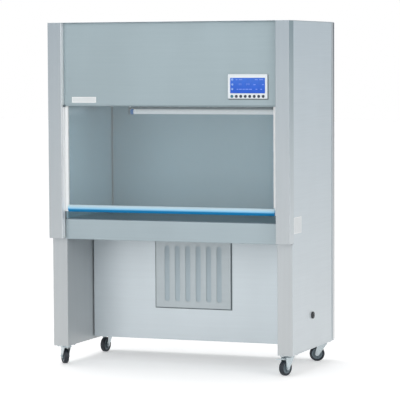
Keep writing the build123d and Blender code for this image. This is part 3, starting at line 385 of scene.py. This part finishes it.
def turned(made, outline, centre, axis, segments=48, closed=True):
    """Adds a lathe-turned shape; the outline is (place along the axis, radius) points."""
    turn = Vector(axis).to_track_quat("Z", "Y").to_matrix()
    rings = []
    for step in range(segments):
        angle = 2 * math.pi * step / segments
        out = Vector((math.cos(angle), math.sin(angle), 0))
        points = (Vector(centre) + turn @ (out * r + Vector((0, 0, z))) for z, r in outline)
        rings.append([made.verts.new(point) for point in points])
    count = len(outline)
    for step in range(segments):
        here, there = rings[step], rings[(step + 1) % segments]
        for i in range(count if closed else count - 1):
            j = (i + 1) % count
            made.faces.new((here[i], there[i], there[j], here[j]))
    if not closed:
        made.faces.new([ring[0] for ring in rings])
        made.faces.new([ring[-1] for ring in rings])


def tube(made, path, radius, sides=10):
    """Adds a round tube that follows a list of points in one upright plane across Y."""
    rings = []
    for index, point in enumerate(path):
        ahead = path[min(index + 1, len(path) - 1)] - path[max(index - 1, 0)]
        across = Vector((0, 1, 0))
        out = ahead.normalized().cross(across)
        ring = []
        for side in range(sides):
            angle = 2 * math.pi * side / sides
            spread = out * math.cos(angle) + across * math.sin(angle)
            ring.append(made.verts.new(point + spread * radius))
        rings.append(ring)
    for here, there in zip(rings, rings[1:]):
        for side in range(sides):
            after = (side + 1) % sides
            made.faces.new((here[side], here[after], there[after], there[side]))
    made.faces.new(rings[0])
    made.faces.new(rings[-1])


def hexagon(made, centre, axis, radius, height):
    """Adds a hexagon head with a chamfered crown."""
    profile = [(0, radius), (height * 0.75, radius), (height, radius * 0.82)]
    turned(made, profile, centre, axis, 6, closed=False)


def node_middle(node):
    """The middle of a node's box."""
    low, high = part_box(node)
    return (low + high) / 2


# ---- Cabinet -------------------------------------------------------------------------------------
def finish_cabinet():
    """Materials for the sheet steel that shows from outside and in the work area."""
    # pale and deep run from foot to head on the columns and legs, and wall and wall_head on the side
    # panels; light to dark is painted reflection and shade.
    pale, deep = srgb(188, 192, 194), srgb(150, 160, 167)
    wall, wall_head = srgb(210, 217, 221), srgb(177, 191, 200)
    fascia = steel("steel_fascia", srgb(151, 167, 173), cloud=0.03, metallic=0.25)
    # The left column's side facing the work area is white as painted light.
    column_left = steel(
        "steel_column_left", pale, deep, side=(WHITE, WHITE), side_from=COLUMN_MIDDLE, grain="Z",
    )
    # The right column's faces that look along X run from light at the foot to dark at the head as
    # painted light and shade.
    column_right = steel(
        "steel_column_right", pale, deep, side=(srgb(232, 236, 239), srgb(116, 138, 147)), grain="Z",
    )
    leg_left = steel("steel_leg_left", pale, deep, grain="Z")
    # The right leg's faces that look along X take the side panels' pair of colours as painted light.
    leg_right = steel("steel_leg_right", pale, deep, side=(wall, wall_head), grain="Z")
    flank = steel("steel_flank", wall, wall_head, grain="Y", cloud=0.015)
    knee = steel("steel_knee", srgb(206, 215, 220))
    grille = steel("steel_grille", srgb(180, 189, 193))
    back = steel("steel_back", srgb(184, 194, 200))
    # The top sheet's brighter colour is a painted sheen; its lower roughness is real gloss.
    top_sheet = (TOP_SHEET, TOP_SHEET_ROUGHNESS, srgb(214, 230, 237))
    apron = steel("steel_apron", srgb(156, 170, 176), polish_and_painted_sheen=top_sheet)
    # The end walls take a lighter copy of the back wall's steel as painted light.
    inside = steel("steel_inside", srgb(140, 170, 183), roughness=0.46, metallic=0.3, relief=0.01)
    inside_end = steel(
        "steel_inside_end", srgb(188, 218, 230), cloud=0.035, roughness=0.2, relief=0.01,
    )
    zinc = steel("zinc_sheet", srgb(163, 171, 175), roughness=0.5)
    groups = {
        fascia: ["front_panel"],
        column_left: ["front_column_left"],
        column_right: ["front_column_right"],
        leg_left: ["leg_box_left"],
        leg_right: ["leg_box_right"],
        flank: ["side_panel_left", "side_panel_right"],
        knee: ["knee_panel"],
        grille: ["intake_grille"],
        back: ["rear_cover_upper", "rear_cover_lower", "top_cover"],
        apron: ["worktop"],
        inside: ["work_wall_back"],
        inside_end: ["work_wall_left", "work_wall_right"],
        zinc: ["base_tray", "plenum_box", "blower_housing", "blower_impeller", "pulley_brackets",
               "diffuser_plate"],
    }
    for material, members in groups.items():
        for node in members:
            paint(node, material)
    return fascia


def add_plates():
    """Two bare plates, each with a raised border round a slightly greyer field."""
    border = plain("plate_white", srgb(244, 247, 248), 0.4)
    field = plain("plate_field", srgb(226, 231, 233), 0.5)
    made = bmesh.new()
    slab(made, *PLATE_FRONT, SMALL_EDGE)
    piece("plate_front", made, border, "root")
    made = bmesh.new()
    low, high = map(Vector, PLATE_FRONT)
    inset = Vector((PLATE_BORDER, FIELD_PROUD, PLATE_BORDER))
    slab(made, low + Vector((inset.x, -inset.y, inset.z)), high - inset, FIELD_EDGE)
    piece("plate_front_field", made, field, "root")
    made = bmesh.new()
    slab(made, *PLATE_SIDE, SMALL_EDGE)
    piece("plate_side", made, border, "root")
    made = bmesh.new()
    low, high = map(Vector, PLATE_SIDE)
    inset = Vector((FIELD_PROUD, PLATE_BORDER, PLATE_BORDER))
    slab(made, low + inset, high + Vector((inset.x, -inset.y, -inset.z)), FIELD_EDGE)
    piece("plate_side_field", made, field, "root")


def add_fascia_edge(fascia):
    """The rolled hem along the fascia's foot and a stop block at its left end, coloured dark as painted
    shade in that corner.
    """
    low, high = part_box("front_panel")
    made = bmesh.new()
    hem_low = (low.x, low.y, low.z - HEM_HEIGHT)
    hem_high = (high.x, low.y + HEM_DEPTH, low.z)
    slab(made, hem_low, hem_high, ROUNDED_EDGE, 3)
    piece("fascia_hem", made, fascia, "root")
    # The stop's dark colour is painted shade in the corner under the fascia.
    rubber = plain("stop_painted_shade", srgb(92, 104, 110), 0.6)
    foot = Vector((low.x, low.y - STOP_SIZE.y, low.z - STOP_DROP))
    made = bmesh.new()
    slab(made, foot, foot + STOP_SIZE, ROUNDED_EDGE, 3)
    piece("sash_stop", made, rubber, "root")


def add_corner_beads():
    """A dark bead up each back corner of the work area."""
    # The bead is darker than the walls.
    sealant = plain("corner_bead_dark", srgb(112, 134, 142), 0.6)
    low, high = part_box("work_wall_back")
    for side, sign in (("left", -1), ("right", 1)):
        end_low, end_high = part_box(f"work_wall_{side}")
        face = end_high.x if sign < 0 else end_low.x
        made = bmesh.new()
        corner = Vector((face - sign * BEAD / 2, low.y - BEAD / 2, 0))
        half = Vector((BEAD / 2, BEAD / 2, 0))
        foot = Vector((0, 0, low.z + END_MARGIN))
        head = Vector((0, 0, high.z - END_MARGIN))
        slab(made, corner - half + foot, corner + half + head, BEAD / 4, 3)
        piece(f"corner_bead_{side}", made, sealant, "root")


def add_side_trims():
    """A strip and its seam down the rear edge of each side panel; the strip runs from light at the foot
    to dark at the head as painted shade and reflection.
    """
    # Light at the foot and dark at the head: painted shade and reflection.
    strip = steel("steel_trim", srgb(230, 232, 233), srgb(80, 93, 103), grain="Z")
    seam = steel("steel_trim_seam", srgb(181, 190, 195), grain="Z")
    for side, sign in (("left", -1), ("right", 1)):
        low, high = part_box(f"side_panel_{side}")
        face = high.x if sign > 0 else low.x
        inner, outer = sorted((face, face + sign * TRIM_PROUD))
        for name, material, start, end in (
            ("side_trim", strip, *TRIM_Y),
            ("side_seam", seam, TRIM_Y[0] - TRIM_SEAM, TRIM_Y[0]),
        ):
            made = bmesh.new()
            strip_low = (inner, start, low.z + END_MARGIN)
            strip_high = (outer, end, high.z - END_MARGIN)
            slab(made, strip_low, strip_high, FINE_EDGE)
            piece(f"{name}_{side}", made, material, "root")


def add_grille_parts():
    """A dark ring round the intake grille, painted shadow along its edge, and a fine gauze behind its
    slots.
    """
    low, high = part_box("intake_grille")
    back = high.y
    made = bmesh.new()
    # A dark ring round the grille's edge: painted shadow.
    for first, last in (
        ((low.x - GASKET, low.z - GASKET), (low.x, high.z + GASKET)),
        ((high.x, low.z - GASKET), (high.x + GASKET, high.z + GASKET)),
        ((low.x, low.z - GASKET), (high.x, low.z)),
        ((low.x, high.z), (high.x, high.z + GASKET)),
    ):
        slab(made, (first[0], back - GASKET_PROUD, first[1]), (last[0], back, last[1]), SMALL_EDGE)
    rubber = plain("grille_painted_shadow", srgb(118, 128, 132), 0.7)
    piece("grille_shadow_ring", made, rubber, "root")
    gauze = Shader("intake_gauze", srgb(196, 212, 219), 0.6, 0.3)
    lattice = gauze.math("MAXIMUM", gauze.wave(GAUZE_PITCH, "X"), gauze.wave(GAUZE_PITCH, "Z"))
    gauze.color(gauze.vary(srgb(176, 190, 197), lattice, 0.05))
    gauze.bump(lattice, 0.3, 0.0004)
    made = bmesh.new()
    face = low.y + GAUZE_SETBACK
    gauze_low = (low.x + GAUZE_MARGIN, face, low.z + GAUZE_MARGIN)
    gauze_high = (high.x - GAUZE_MARGIN, face + GAUZE_THICKNESS, high.z - GAUZE_MARGIN)
    slab(made, gauze_low, gauze_high, FINE_EDGE)
    piece("intake_gauze", made, gauze.material, "root")


# ---- Fittings ------------------------------------------------------------------------------------
def finish_fittings():
    """Materials for the sash, filters, lamp and drive, and the cable gland."""
    glass = Shader("sash_glass", (0.90, 0.97, 0.97, 1), 0.03, 0.0, Alpha=0.08)
    glass.rough(glass.ramp(glass.noise(6.0, 3.0), 0.02, 0.06))
    paint("sash_glass", glass.material)
    paint("sash_stiles", plain("white_enamel", WHITE, 0.35))
    made = bmesh.new()
    # A white bead on the right edge only, a painted highlight along that edge.
    slab(made, *WHITE_BEAD, WHITE_BEAD_EDGE, 3)
    bead = plain("white_bead_painted_highlight", srgb(252, 253, 254), 0.4)
    piece("sash_bead", made, bead, "sash")
    paint("guide_rails", plain("anodised", srgb(196, 202, 206), 0.35, 0.7))
    paint("filter_frame", plain("anodised_frame", srgb(196, 202, 206), 0.4, 0.7))
    low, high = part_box("sash_handle")
    rise = high.z - low.z
    grip = Shader("blue_grip", srgb(40, 140, 205), 0.4, Specular_IOR_Level=0.15)
    # The deep blue is the handle's own colour; the paler bands towards the top are painted highlight and
    # sheen.
    blue, sky, light = (8, 124, 182), (150, 214, 248), (214, 238, 250)
    bands = ((0.0, blue), (0.34, blue), (0.52, sky), (0.84, light))
    tint = grip.gradient("Z", [(low.z + share * rise, srgb(*color)) for share, color in bands])
    grip.color(grip.vary(tint, grip.noise(1.0, 2.0, (6, 200, 200)), 0.02))
    grip.rough(grip.ramp(grip.noise(700.0, 3.0), 0.35, 0.45))
    paint("sash_handle", grip.material)
    media = plain("filter_media", srgb(205, 212, 214), 0.9, 0.0, 0.3, 400)
    paint("prefilter", media)
    paint("filter_paper", media)
    paint("blower_motor", plain("motor_enamel", srgb(60, 64, 68), 0.4))
    paint("lamp_holders", plain("holder_grey", srgb(112, 132, 140), 0.5))
    low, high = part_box("lamp_tube")
    tube_glass = Shader("lamp_glass", srgb(240, 246, 250), 0.2)
    off_centre = tube_glass.math("SUBTRACT", tube_glass.axis("X"), (low.x + high.x) / 2)
    span = tube_glass.math("ABSOLUTE", off_centre)
    bare = (high.x - low.x) / 2 - LAMP_CAP
    cap = tube_glass.ramp(span, 0.0, 1.0, bare - LAMP_CAP_BLEND, bare + LAMP_CAP_BLEND)
    tint = tube_glass.mix(cap, srgb(240, 246, 250), srgb(10, 104, 176))
    tube_glass.color(tint)
    tube_glass.link(tint, tube_glass.principled.inputs["Emission Color"])
    tube_glass.set(Emission_Strength=0.22)
    tube_glass.rough(tube_glass.ramp(tube_glass.noise(300.0), 0.15, 0.28))
    paint("lamp_tube", tube_glass.material)
    made = bmesh.new()
    dot = Vector((low.x, low.y, (low.z + high.z) / 2)) + LAMP_DOT
    turned(made, LAMP_DOT_OUTLINE, dot, (0, -1, 0), 24, closed=False)
    starter = plain("starter_white", srgb(246, 250, 252), 0.4)
    piece("lamp_starter", made, starter, "root")
    weight = plain("weight_primer", srgb(120, 124, 128), 0.6, 0.3)
    nylon = plain("pulley_nylon", srgb(225, 222, 212), 0.5)
    for side in ("left", "right"):
        paint(f"counterweight_{side}", weight)
        paint(f"pulley_{side}", nylon)
    paint("cable_gland", plain("gland_nylon", srgb(34, 38, 42), 0.5))


def add_cables():
    """A stranded cable over each pulley, in a crown and two runs that hang down to the sash and the
    weight.
    """
    strand = Shader("cable_strand", srgb(168, 171, 174), 0.35, 0.9)
    twist = strand.wave(180.0)
    strand.color(strand.vary(srgb(168, 171, 174), twist, 0.2))
    strand.bump(twist, 0.6, 0.0004)
    top_of_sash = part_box("sash_stiles")[1].z
    for side, sign in (("left", -1), ("right", 1)):
        middle = node_middle(f"pulley_{side}")
        low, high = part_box(f"cable_{side}")
        reach = (high.x - low.x) / 2 - CABLE_RADIUS
        made = bmesh.new()
        angles = [math.pi * step / CROWN_STEPS for step in range(CROWN_STEPS + 1)]
        arc = [middle + reach * Vector((math.cos(angle), 0, math.sin(angle))) for angle in angles]
        tube(made, arc, CABLE_RADIUS)
        name = f"cable_crown_{side}"
        crown = piece(name, made, strand.material, "root", smooth=True)
        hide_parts(f"cable_{side}")
        top_of_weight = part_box(f"counterweight_{side}")[1].z
        for end_name, body, place, foot in (
            ("sash", "sash", middle.x - sign * reach, top_of_sash),
            ("weight", f"counterweight_{side}", middle.x + sign * reach, top_of_weight),
        ):
            start = Vector((place, middle.y, middle.z))
            end = Vector((place, middle.y, foot))
            made = bmesh.new()
            path = [start.lerp(end, step / RUN_STEPS) for step in range(RUN_STEPS + 1)]
            tube(made, path, CABLE_RADIUS)
            name = f"cable_{end_name}_{side}"
            run = piece(name, made, strand.material, None, smooth=True)
            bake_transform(run)
            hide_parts(f"cable_{side}")


# ---- Control panel -------------------------------------------------------------------------------
def digit(made, figure, x, z, height, y):
    """Adds one seven-segment figure whose lower left corner is at x, z."""
    width, bar = height * 0.52, height * 0.13
    across, rise = (x, x + width), height / 2
    boxes = {
        "a": (across[0], z + height - bar, across[1], z + height),
        "g": (across[0], z + rise - bar / 2, across[1], z + rise + bar / 2),
        "d": (across[0], z, across[1], z + bar),
        "f": (across[0], z + rise, across[0] + bar, z + height),
        "b": (across[1] - bar, z + rise, across[1], z + height),
        "e": (across[0], z, across[0] + bar, z + rise),
        "c": (across[1] - bar, z, across[1], z + rise),
    }
    for letter in DIGITS[figure]:
        x_low, z_low, x_high, z_high = boxes[letter]
        slab(made, (x_low, y - MARK_DEPTH, z_low), (x_high, y, z_high))
    return x + width + bar * 1.6


def add_controls():
    """The display with its plain figures, dashes and rings, the bezel with a dark strip under and right
    of it as painted shadow, the buttons.
    """
    low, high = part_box("lcd_screen")
    screen = Shader("lcd_blue", srgb(45, 100, 225), 0.25, Specular_IOR_Level=0.2)
    tint = screen.gradient("Z", [(low.z, srgb(8, 82, 206)), (high.z, srgb(64, 118, 220))])
    tint = screen.vary(tint, screen.noise(40.0, 2.0), 0.05)
    screen.color(tint)
    screen.link(tint, screen.principled.inputs["Emission Color"])
    screen.set(Emission_Strength=0.05)
    screen.rough(screen.ramp(screen.noise(500.0), 0.2, 0.3))
    paint("lcd_screen", screen.material)

    marks = plain("lcd_marks", srgb(112, 150, 240), 0.4)
    pale = plain("lcd_icon", srgb(176, 208, 250), 0.4)
    width, height = high.x - low.x, high.z - low.z
    face = low.y
    made = bmesh.new()
    for row, spans in DASHES.items():
        base = low.z + height * ROWS[row]
        for start, end in spans:
            dash_low = (low.x + width * start, face - MARK_DEPTH, base)
            slab(made, dash_low, (low.x + width * end, face, base + DASH_HEIGHT))
    base = low.z + height * ROWS["upper"]
    for first, figures in FIGURES:
        x = low.x + width * first
        for figure in figures:
            x = digit(made, figure, x, base, FIGURE_HEIGHT, face)
    piece("lcd_marks", made, marks, "root")
    made = bmesh.new()
    inner, outer = RING_RADII
    ring = [(0.0, inner), (0.0, outer), (MARK_DEPTH, outer), (MARK_DEPTH, inner)]
    for row in ("top", "upper", "lower"):
        rise = low.z + height * ROWS[row] + RING_RISE
        turned(made, ring, Vector((low.x + width * RING_PLACE, face, rise)), (0, -1, 0), 24)
    piece("lcd_icons", made, pale, "root")

    paint("panel_bezel", plain("bezel_white", srgb(234, 241, 246), 0.35))
    low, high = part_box("panel_bezel")
    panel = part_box("front_panel")[0].y
    # A dark strip under and right of the bezel, offset like a shadow: painted shadow.
    made = bmesh.new()
    front, right = panel - BEZEL_SHADOW_THICKNESS, high.x + BEZEL_SHADOW_RIGHT
    under = (low.x + BEZEL_SHADOW_LEFT, front, low.z - BEZEL_SHADOW_UNDER)
    slab(made, under, (right, panel, low.z), SMALL_EDGE)
    slab(made, (high.x, front, low.z), (right, panel, high.z - BEZEL_SHADOW_SHORT), SMALL_EDGE)
    rubber = plain("bezel_shadow_dark", srgb(96, 104, 106), 0.7)
    piece("bezel_painted_shadow", made, rubber, "root")
    navy = plain("button_navy", srgb(10, 34, 56), 0.4)
    teal = plain("button_teal", srgb(14, 108, 128), 0.4)
    for number in range(1, 9):
        paint(f"button_{number}", teal if number == 1 else navy)


# ---- Castors -------------------------------------------------------------------------------------
def rounded_tread(inner, outer, half, radius, steps=5):
    """The closed outline of a tyre with round shoulders."""
    outline = [(-half + TYRE_SIDE, inner)]
    for turn in range(steps + 1):
        angle = math.pi * (1 - turn / (2 * steps))
        along = radius - half + radius * math.cos(angle)
        outline.append((along, outer - radius + radius * math.sin(angle)))
    for turn in range(steps + 1):
        angle = math.pi / 2 * (1 - turn / steps)
        along = half - radius + radius * math.cos(angle)
        outline.append((along, outer - radius + radius * math.sin(angle)))
    return outline + [(half - TYRE_SIDE, inner)]


def add_castors():
    """Detailed wheels in place of the plain ones, the castors' finish and their bolts."""
    rubber = plain("wheel_rubber", srgb(24, 34, 44), 0.5, 0.0, 0.2, 700)
    hub_grey = plain("hub_grey", srgb(120, 134, 142), 0.45)
    plated = plain("zinc_plate", srgb(196, 206, 210), 0.32, 0.7, 0.1, 300, 0.06)
    bolt = plain("zinc_bolt", srgb(176, 184, 188), 0.3, 0.8)
    paint("caster_plates", plated)
    for corner in CORNERS:
        paint(f"caster_fork_{corner}", plated)
        joint = joints[f"castor_{corner}_roll"]
        centre, axis = Vector(joint["pos_m"]), Vector(joint["axis"]).normalized()
        low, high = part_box(f"caster_wheel_{corner}")
        outer = (high.z - low.z) / 2
        made = bmesh.new()
        tread = rounded_tread(TYRE_INNER, outer, TYRE_HALF, TYRE_SHOULDER)
        turned(made, tread, centre, axis, 72)
        tyre = piece(f"tyre_{corner}", made, rubber, f"wheel_{corner}", smooth=True)
        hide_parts(f"caster_wheel_{corner}")
        made = bmesh.new()
        outline = [
            (HUB_HALF, HUB_BORE), (HUB_HALF, BOSS_RADIUS - HUB_CHAMFER),
            (HUB_HALF - HUB_CHAMFER, BOSS_RADIUS), (WEB_HALF, BOSS_RADIUS + HUB_DRAFT),
            (WEB_HALF, RIM_INNER - HUB_DRAFT), (RIM_HALF, RIM_INNER), (RIM_HALF, TYRE_INNER),
        ]
        mirrored = [(-along, radius) for along, radius in reversed(outline)]
        turned(made, outline + mirrored, centre, axis, 48)
        turn = axis.to_track_quat("Z", "Y").to_matrix().to_4x4()
        for spoke in range(SPOKES):
            rib = bmesh.new()
            rib_low = (BOSS_RADIUS - RIB_LAP, *-RIB_HALF)
            slab(rib, rib_low, (RIM_INNER + RIB_LAP, *RIB_HALF), SMALL_EDGE)
            swing = Matrix.Rotation(2 * math.pi * spoke / SPOKES, 4, "Z")
            rib.transform(Matrix.Translation(centre) @ turn @ swing)
            spare = bpy.data.meshes.new("rib")
            rib.to_mesh(spare)
            rib.free()
            made.from_mesh(spare)
            bpy.data.meshes.remove(spare)
        hub = piece(f"hub_{corner}", made, hub_grey, f"wheel_{corner}")
        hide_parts(f"caster_wheel_{corner}")
        swivel = joints[f"castor_{corner}_swivel"]["pos_m"]
        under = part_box("caster_plates")[1].z - PLATE_THICKNESS
        made = bmesh.new()
        for side_x in (-1, 1):
            for side_y in (-1, 1):
                across = swivel[0] + side_x * BOLT_SPACING.x
                place = (across, swivel[1] + side_y * BOLT_SPACING.y, under)
                hexagon(made, place, (0, 0, -1), BOLT_RADIUS, BOLT_HEIGHT)
        piece(f"castor_bolts_{corner}", made, bolt, "root")
    for corner in ("fl", "fr"):
        paint(f"brake_pedal_{corner}", plated)


# ---- Camera, light and floor ---------------------------------------------------------------------
def set_camera():
    """The photograph's camera."""
    level = Vector((math.cos(CAMERA_YAW), math.sin(CAMERA_YAW), 0))
    cos_pitch = math.cos(CAMERA_PITCH)
    sideways, ahead = -math.sin(CAMERA_YAW) * cos_pitch, math.cos(CAMERA_YAW) * cos_pitch
    forward = Vector((sideways, ahead, -math.sin(CAMERA_PITCH)))
    above = level.cross(forward)
    right = level * math.cos(CAMERA_ROLL) + above * math.sin(CAMERA_ROLL)
    up = above * math.cos(CAMERA_ROLL) - level * math.sin(CAMERA_ROLL)
    lens = bpy.data.cameras.new("camera")
    lens.sensor_width = SENSOR_MM
    lens.lens = FOCAL_PIXELS * SENSOR_MM / IMAGE_PIXELS
    lens.clip_end = CLIP_END
    camera = bpy.data.objects.new("camera", lens)
    turn = Matrix((right, up, -forward)).transposed().to_4x4()
    camera.matrix_world = Matrix.Translation(CAMERA_PLACE) @ turn
    bpy.context.scene.collection.objects.link(camera)
    bpy.context.scene.camera = camera


def hang(light, place, aim):
    """Puts a lamp in the scene, turned towards a point."""
    holder = bpy.data.objects.new(light.name, light)
    holder.location = place
    holder.rotation_euler = (Vector(aim) - Vector(place)).to_track_quat("-Z", "Y").to_euler()
    bpy.context.scene.collection.objects.link(holder)


def seen_rays(tree):
    """A socket that is 1 for camera, glossy and transmission rays and 0 for others."""
    path = tree.nodes.new("ShaderNodeLightPath")
    either = tree.nodes.new("ShaderNodeMath")
    either.operation = "MAXIMUM"
    tree.links.new(path.outputs["Is Camera Ray"], either.inputs[0])
    tree.links.new(path.outputs["Is Glossy Ray"], either.inputs[1])
    any_of = tree.nodes.new("ShaderNodeMath")
    any_of.operation = "MAXIMUM"
    tree.links.new(either.outputs[0], any_of.inputs[0])
    tree.links.new(path.outputs["Is Transmission Ray"], any_of.inputs[1])
    return any_of.outputs[0]


def set_light():
    """A white sky, a soft sun from above and two area lamps."""
    scene = bpy.context.scene
    scene.view_settings.view_transform = "Standard"
    world = bpy.data.worlds.new("studio")
    scene.world = world
    world.use_nodes = True
    tree = world.node_tree
    back = tree.nodes["Background"]
    back.inputs["Color"].default_value = (1, 1, 1, 1)
    level = tree.nodes.new("ShaderNodeMapRange")
    level.inputs["To Min"].default_value = SKY_LEVEL
    level.inputs["To Max"].default_value = 1.0
    tree.links.new(seen_rays(tree), level.inputs["Value"])
    tree.links.new(level.outputs["Result"], back.inputs["Strength"])
    key = bpy.data.lights.new("key", "SUN")
    key.energy = KEY_LEVEL
    key.angle = KEY_SOFTNESS
    hang(key, KEY_FROM * KEY_REACH, (0, 0, 0))
    for name, (power, place, size) in FILLS.items():
        fill = bpy.data.lights.new(f"fill_{name}", "AREA")
        fill.size = size
        fill.energy = power
        hang(fill, place, FILL_AIM)


def set_floor():
    """A pale floor that the camera sees as white, with the bench's shadow kept on it."""
    mesh = bpy.data.meshes.new("floor")
    half = FLOOR_HALF
    corners = [(-half, -half, 0), (half, -half, 0), (half, half, 0), (-half, half, 0)]
    mesh.from_pydata(corners, [], [(0, 1, 2, 3)])
    floor = bpy.data.objects.new("floor", mesh)
    bpy.context.scene.collection.objects.link(floor)
    made = Shader("floor_paper", srgb(250, 250, 250), 0.9)
    made.rough(made.ramp(made.noise(40.0, 2.0), 0.85, 0.95))
    tree = made.tree
    lift = tree.nodes.new("ShaderNodeEmission")
    tree.links.new(made.ramp(seen_rays(tree), 0.0, FLOOR_LIFT), lift.inputs["Strength"])
    both = tree.nodes.new("ShaderNodeAddShader")
    tree.links.new(made.principled.outputs[0], both.inputs[0])
    tree.links.new(lift.outputs[0], both.inputs[1])
    tree.links.new(both.outputs[0], tree.nodes["Material Output"].inputs["Surface"])
    mesh.materials.append(made.material)


set_camera()
set_light()
set_floor()
fascia = finish_cabinet()
add_plates()
add_fascia_edge(fascia)
add_corner_beads()
add_side_trims()
add_grille_parts()
finish_fittings()
add_cables()
add_controls()
add_castors()

bpy.context.view_layer.update()
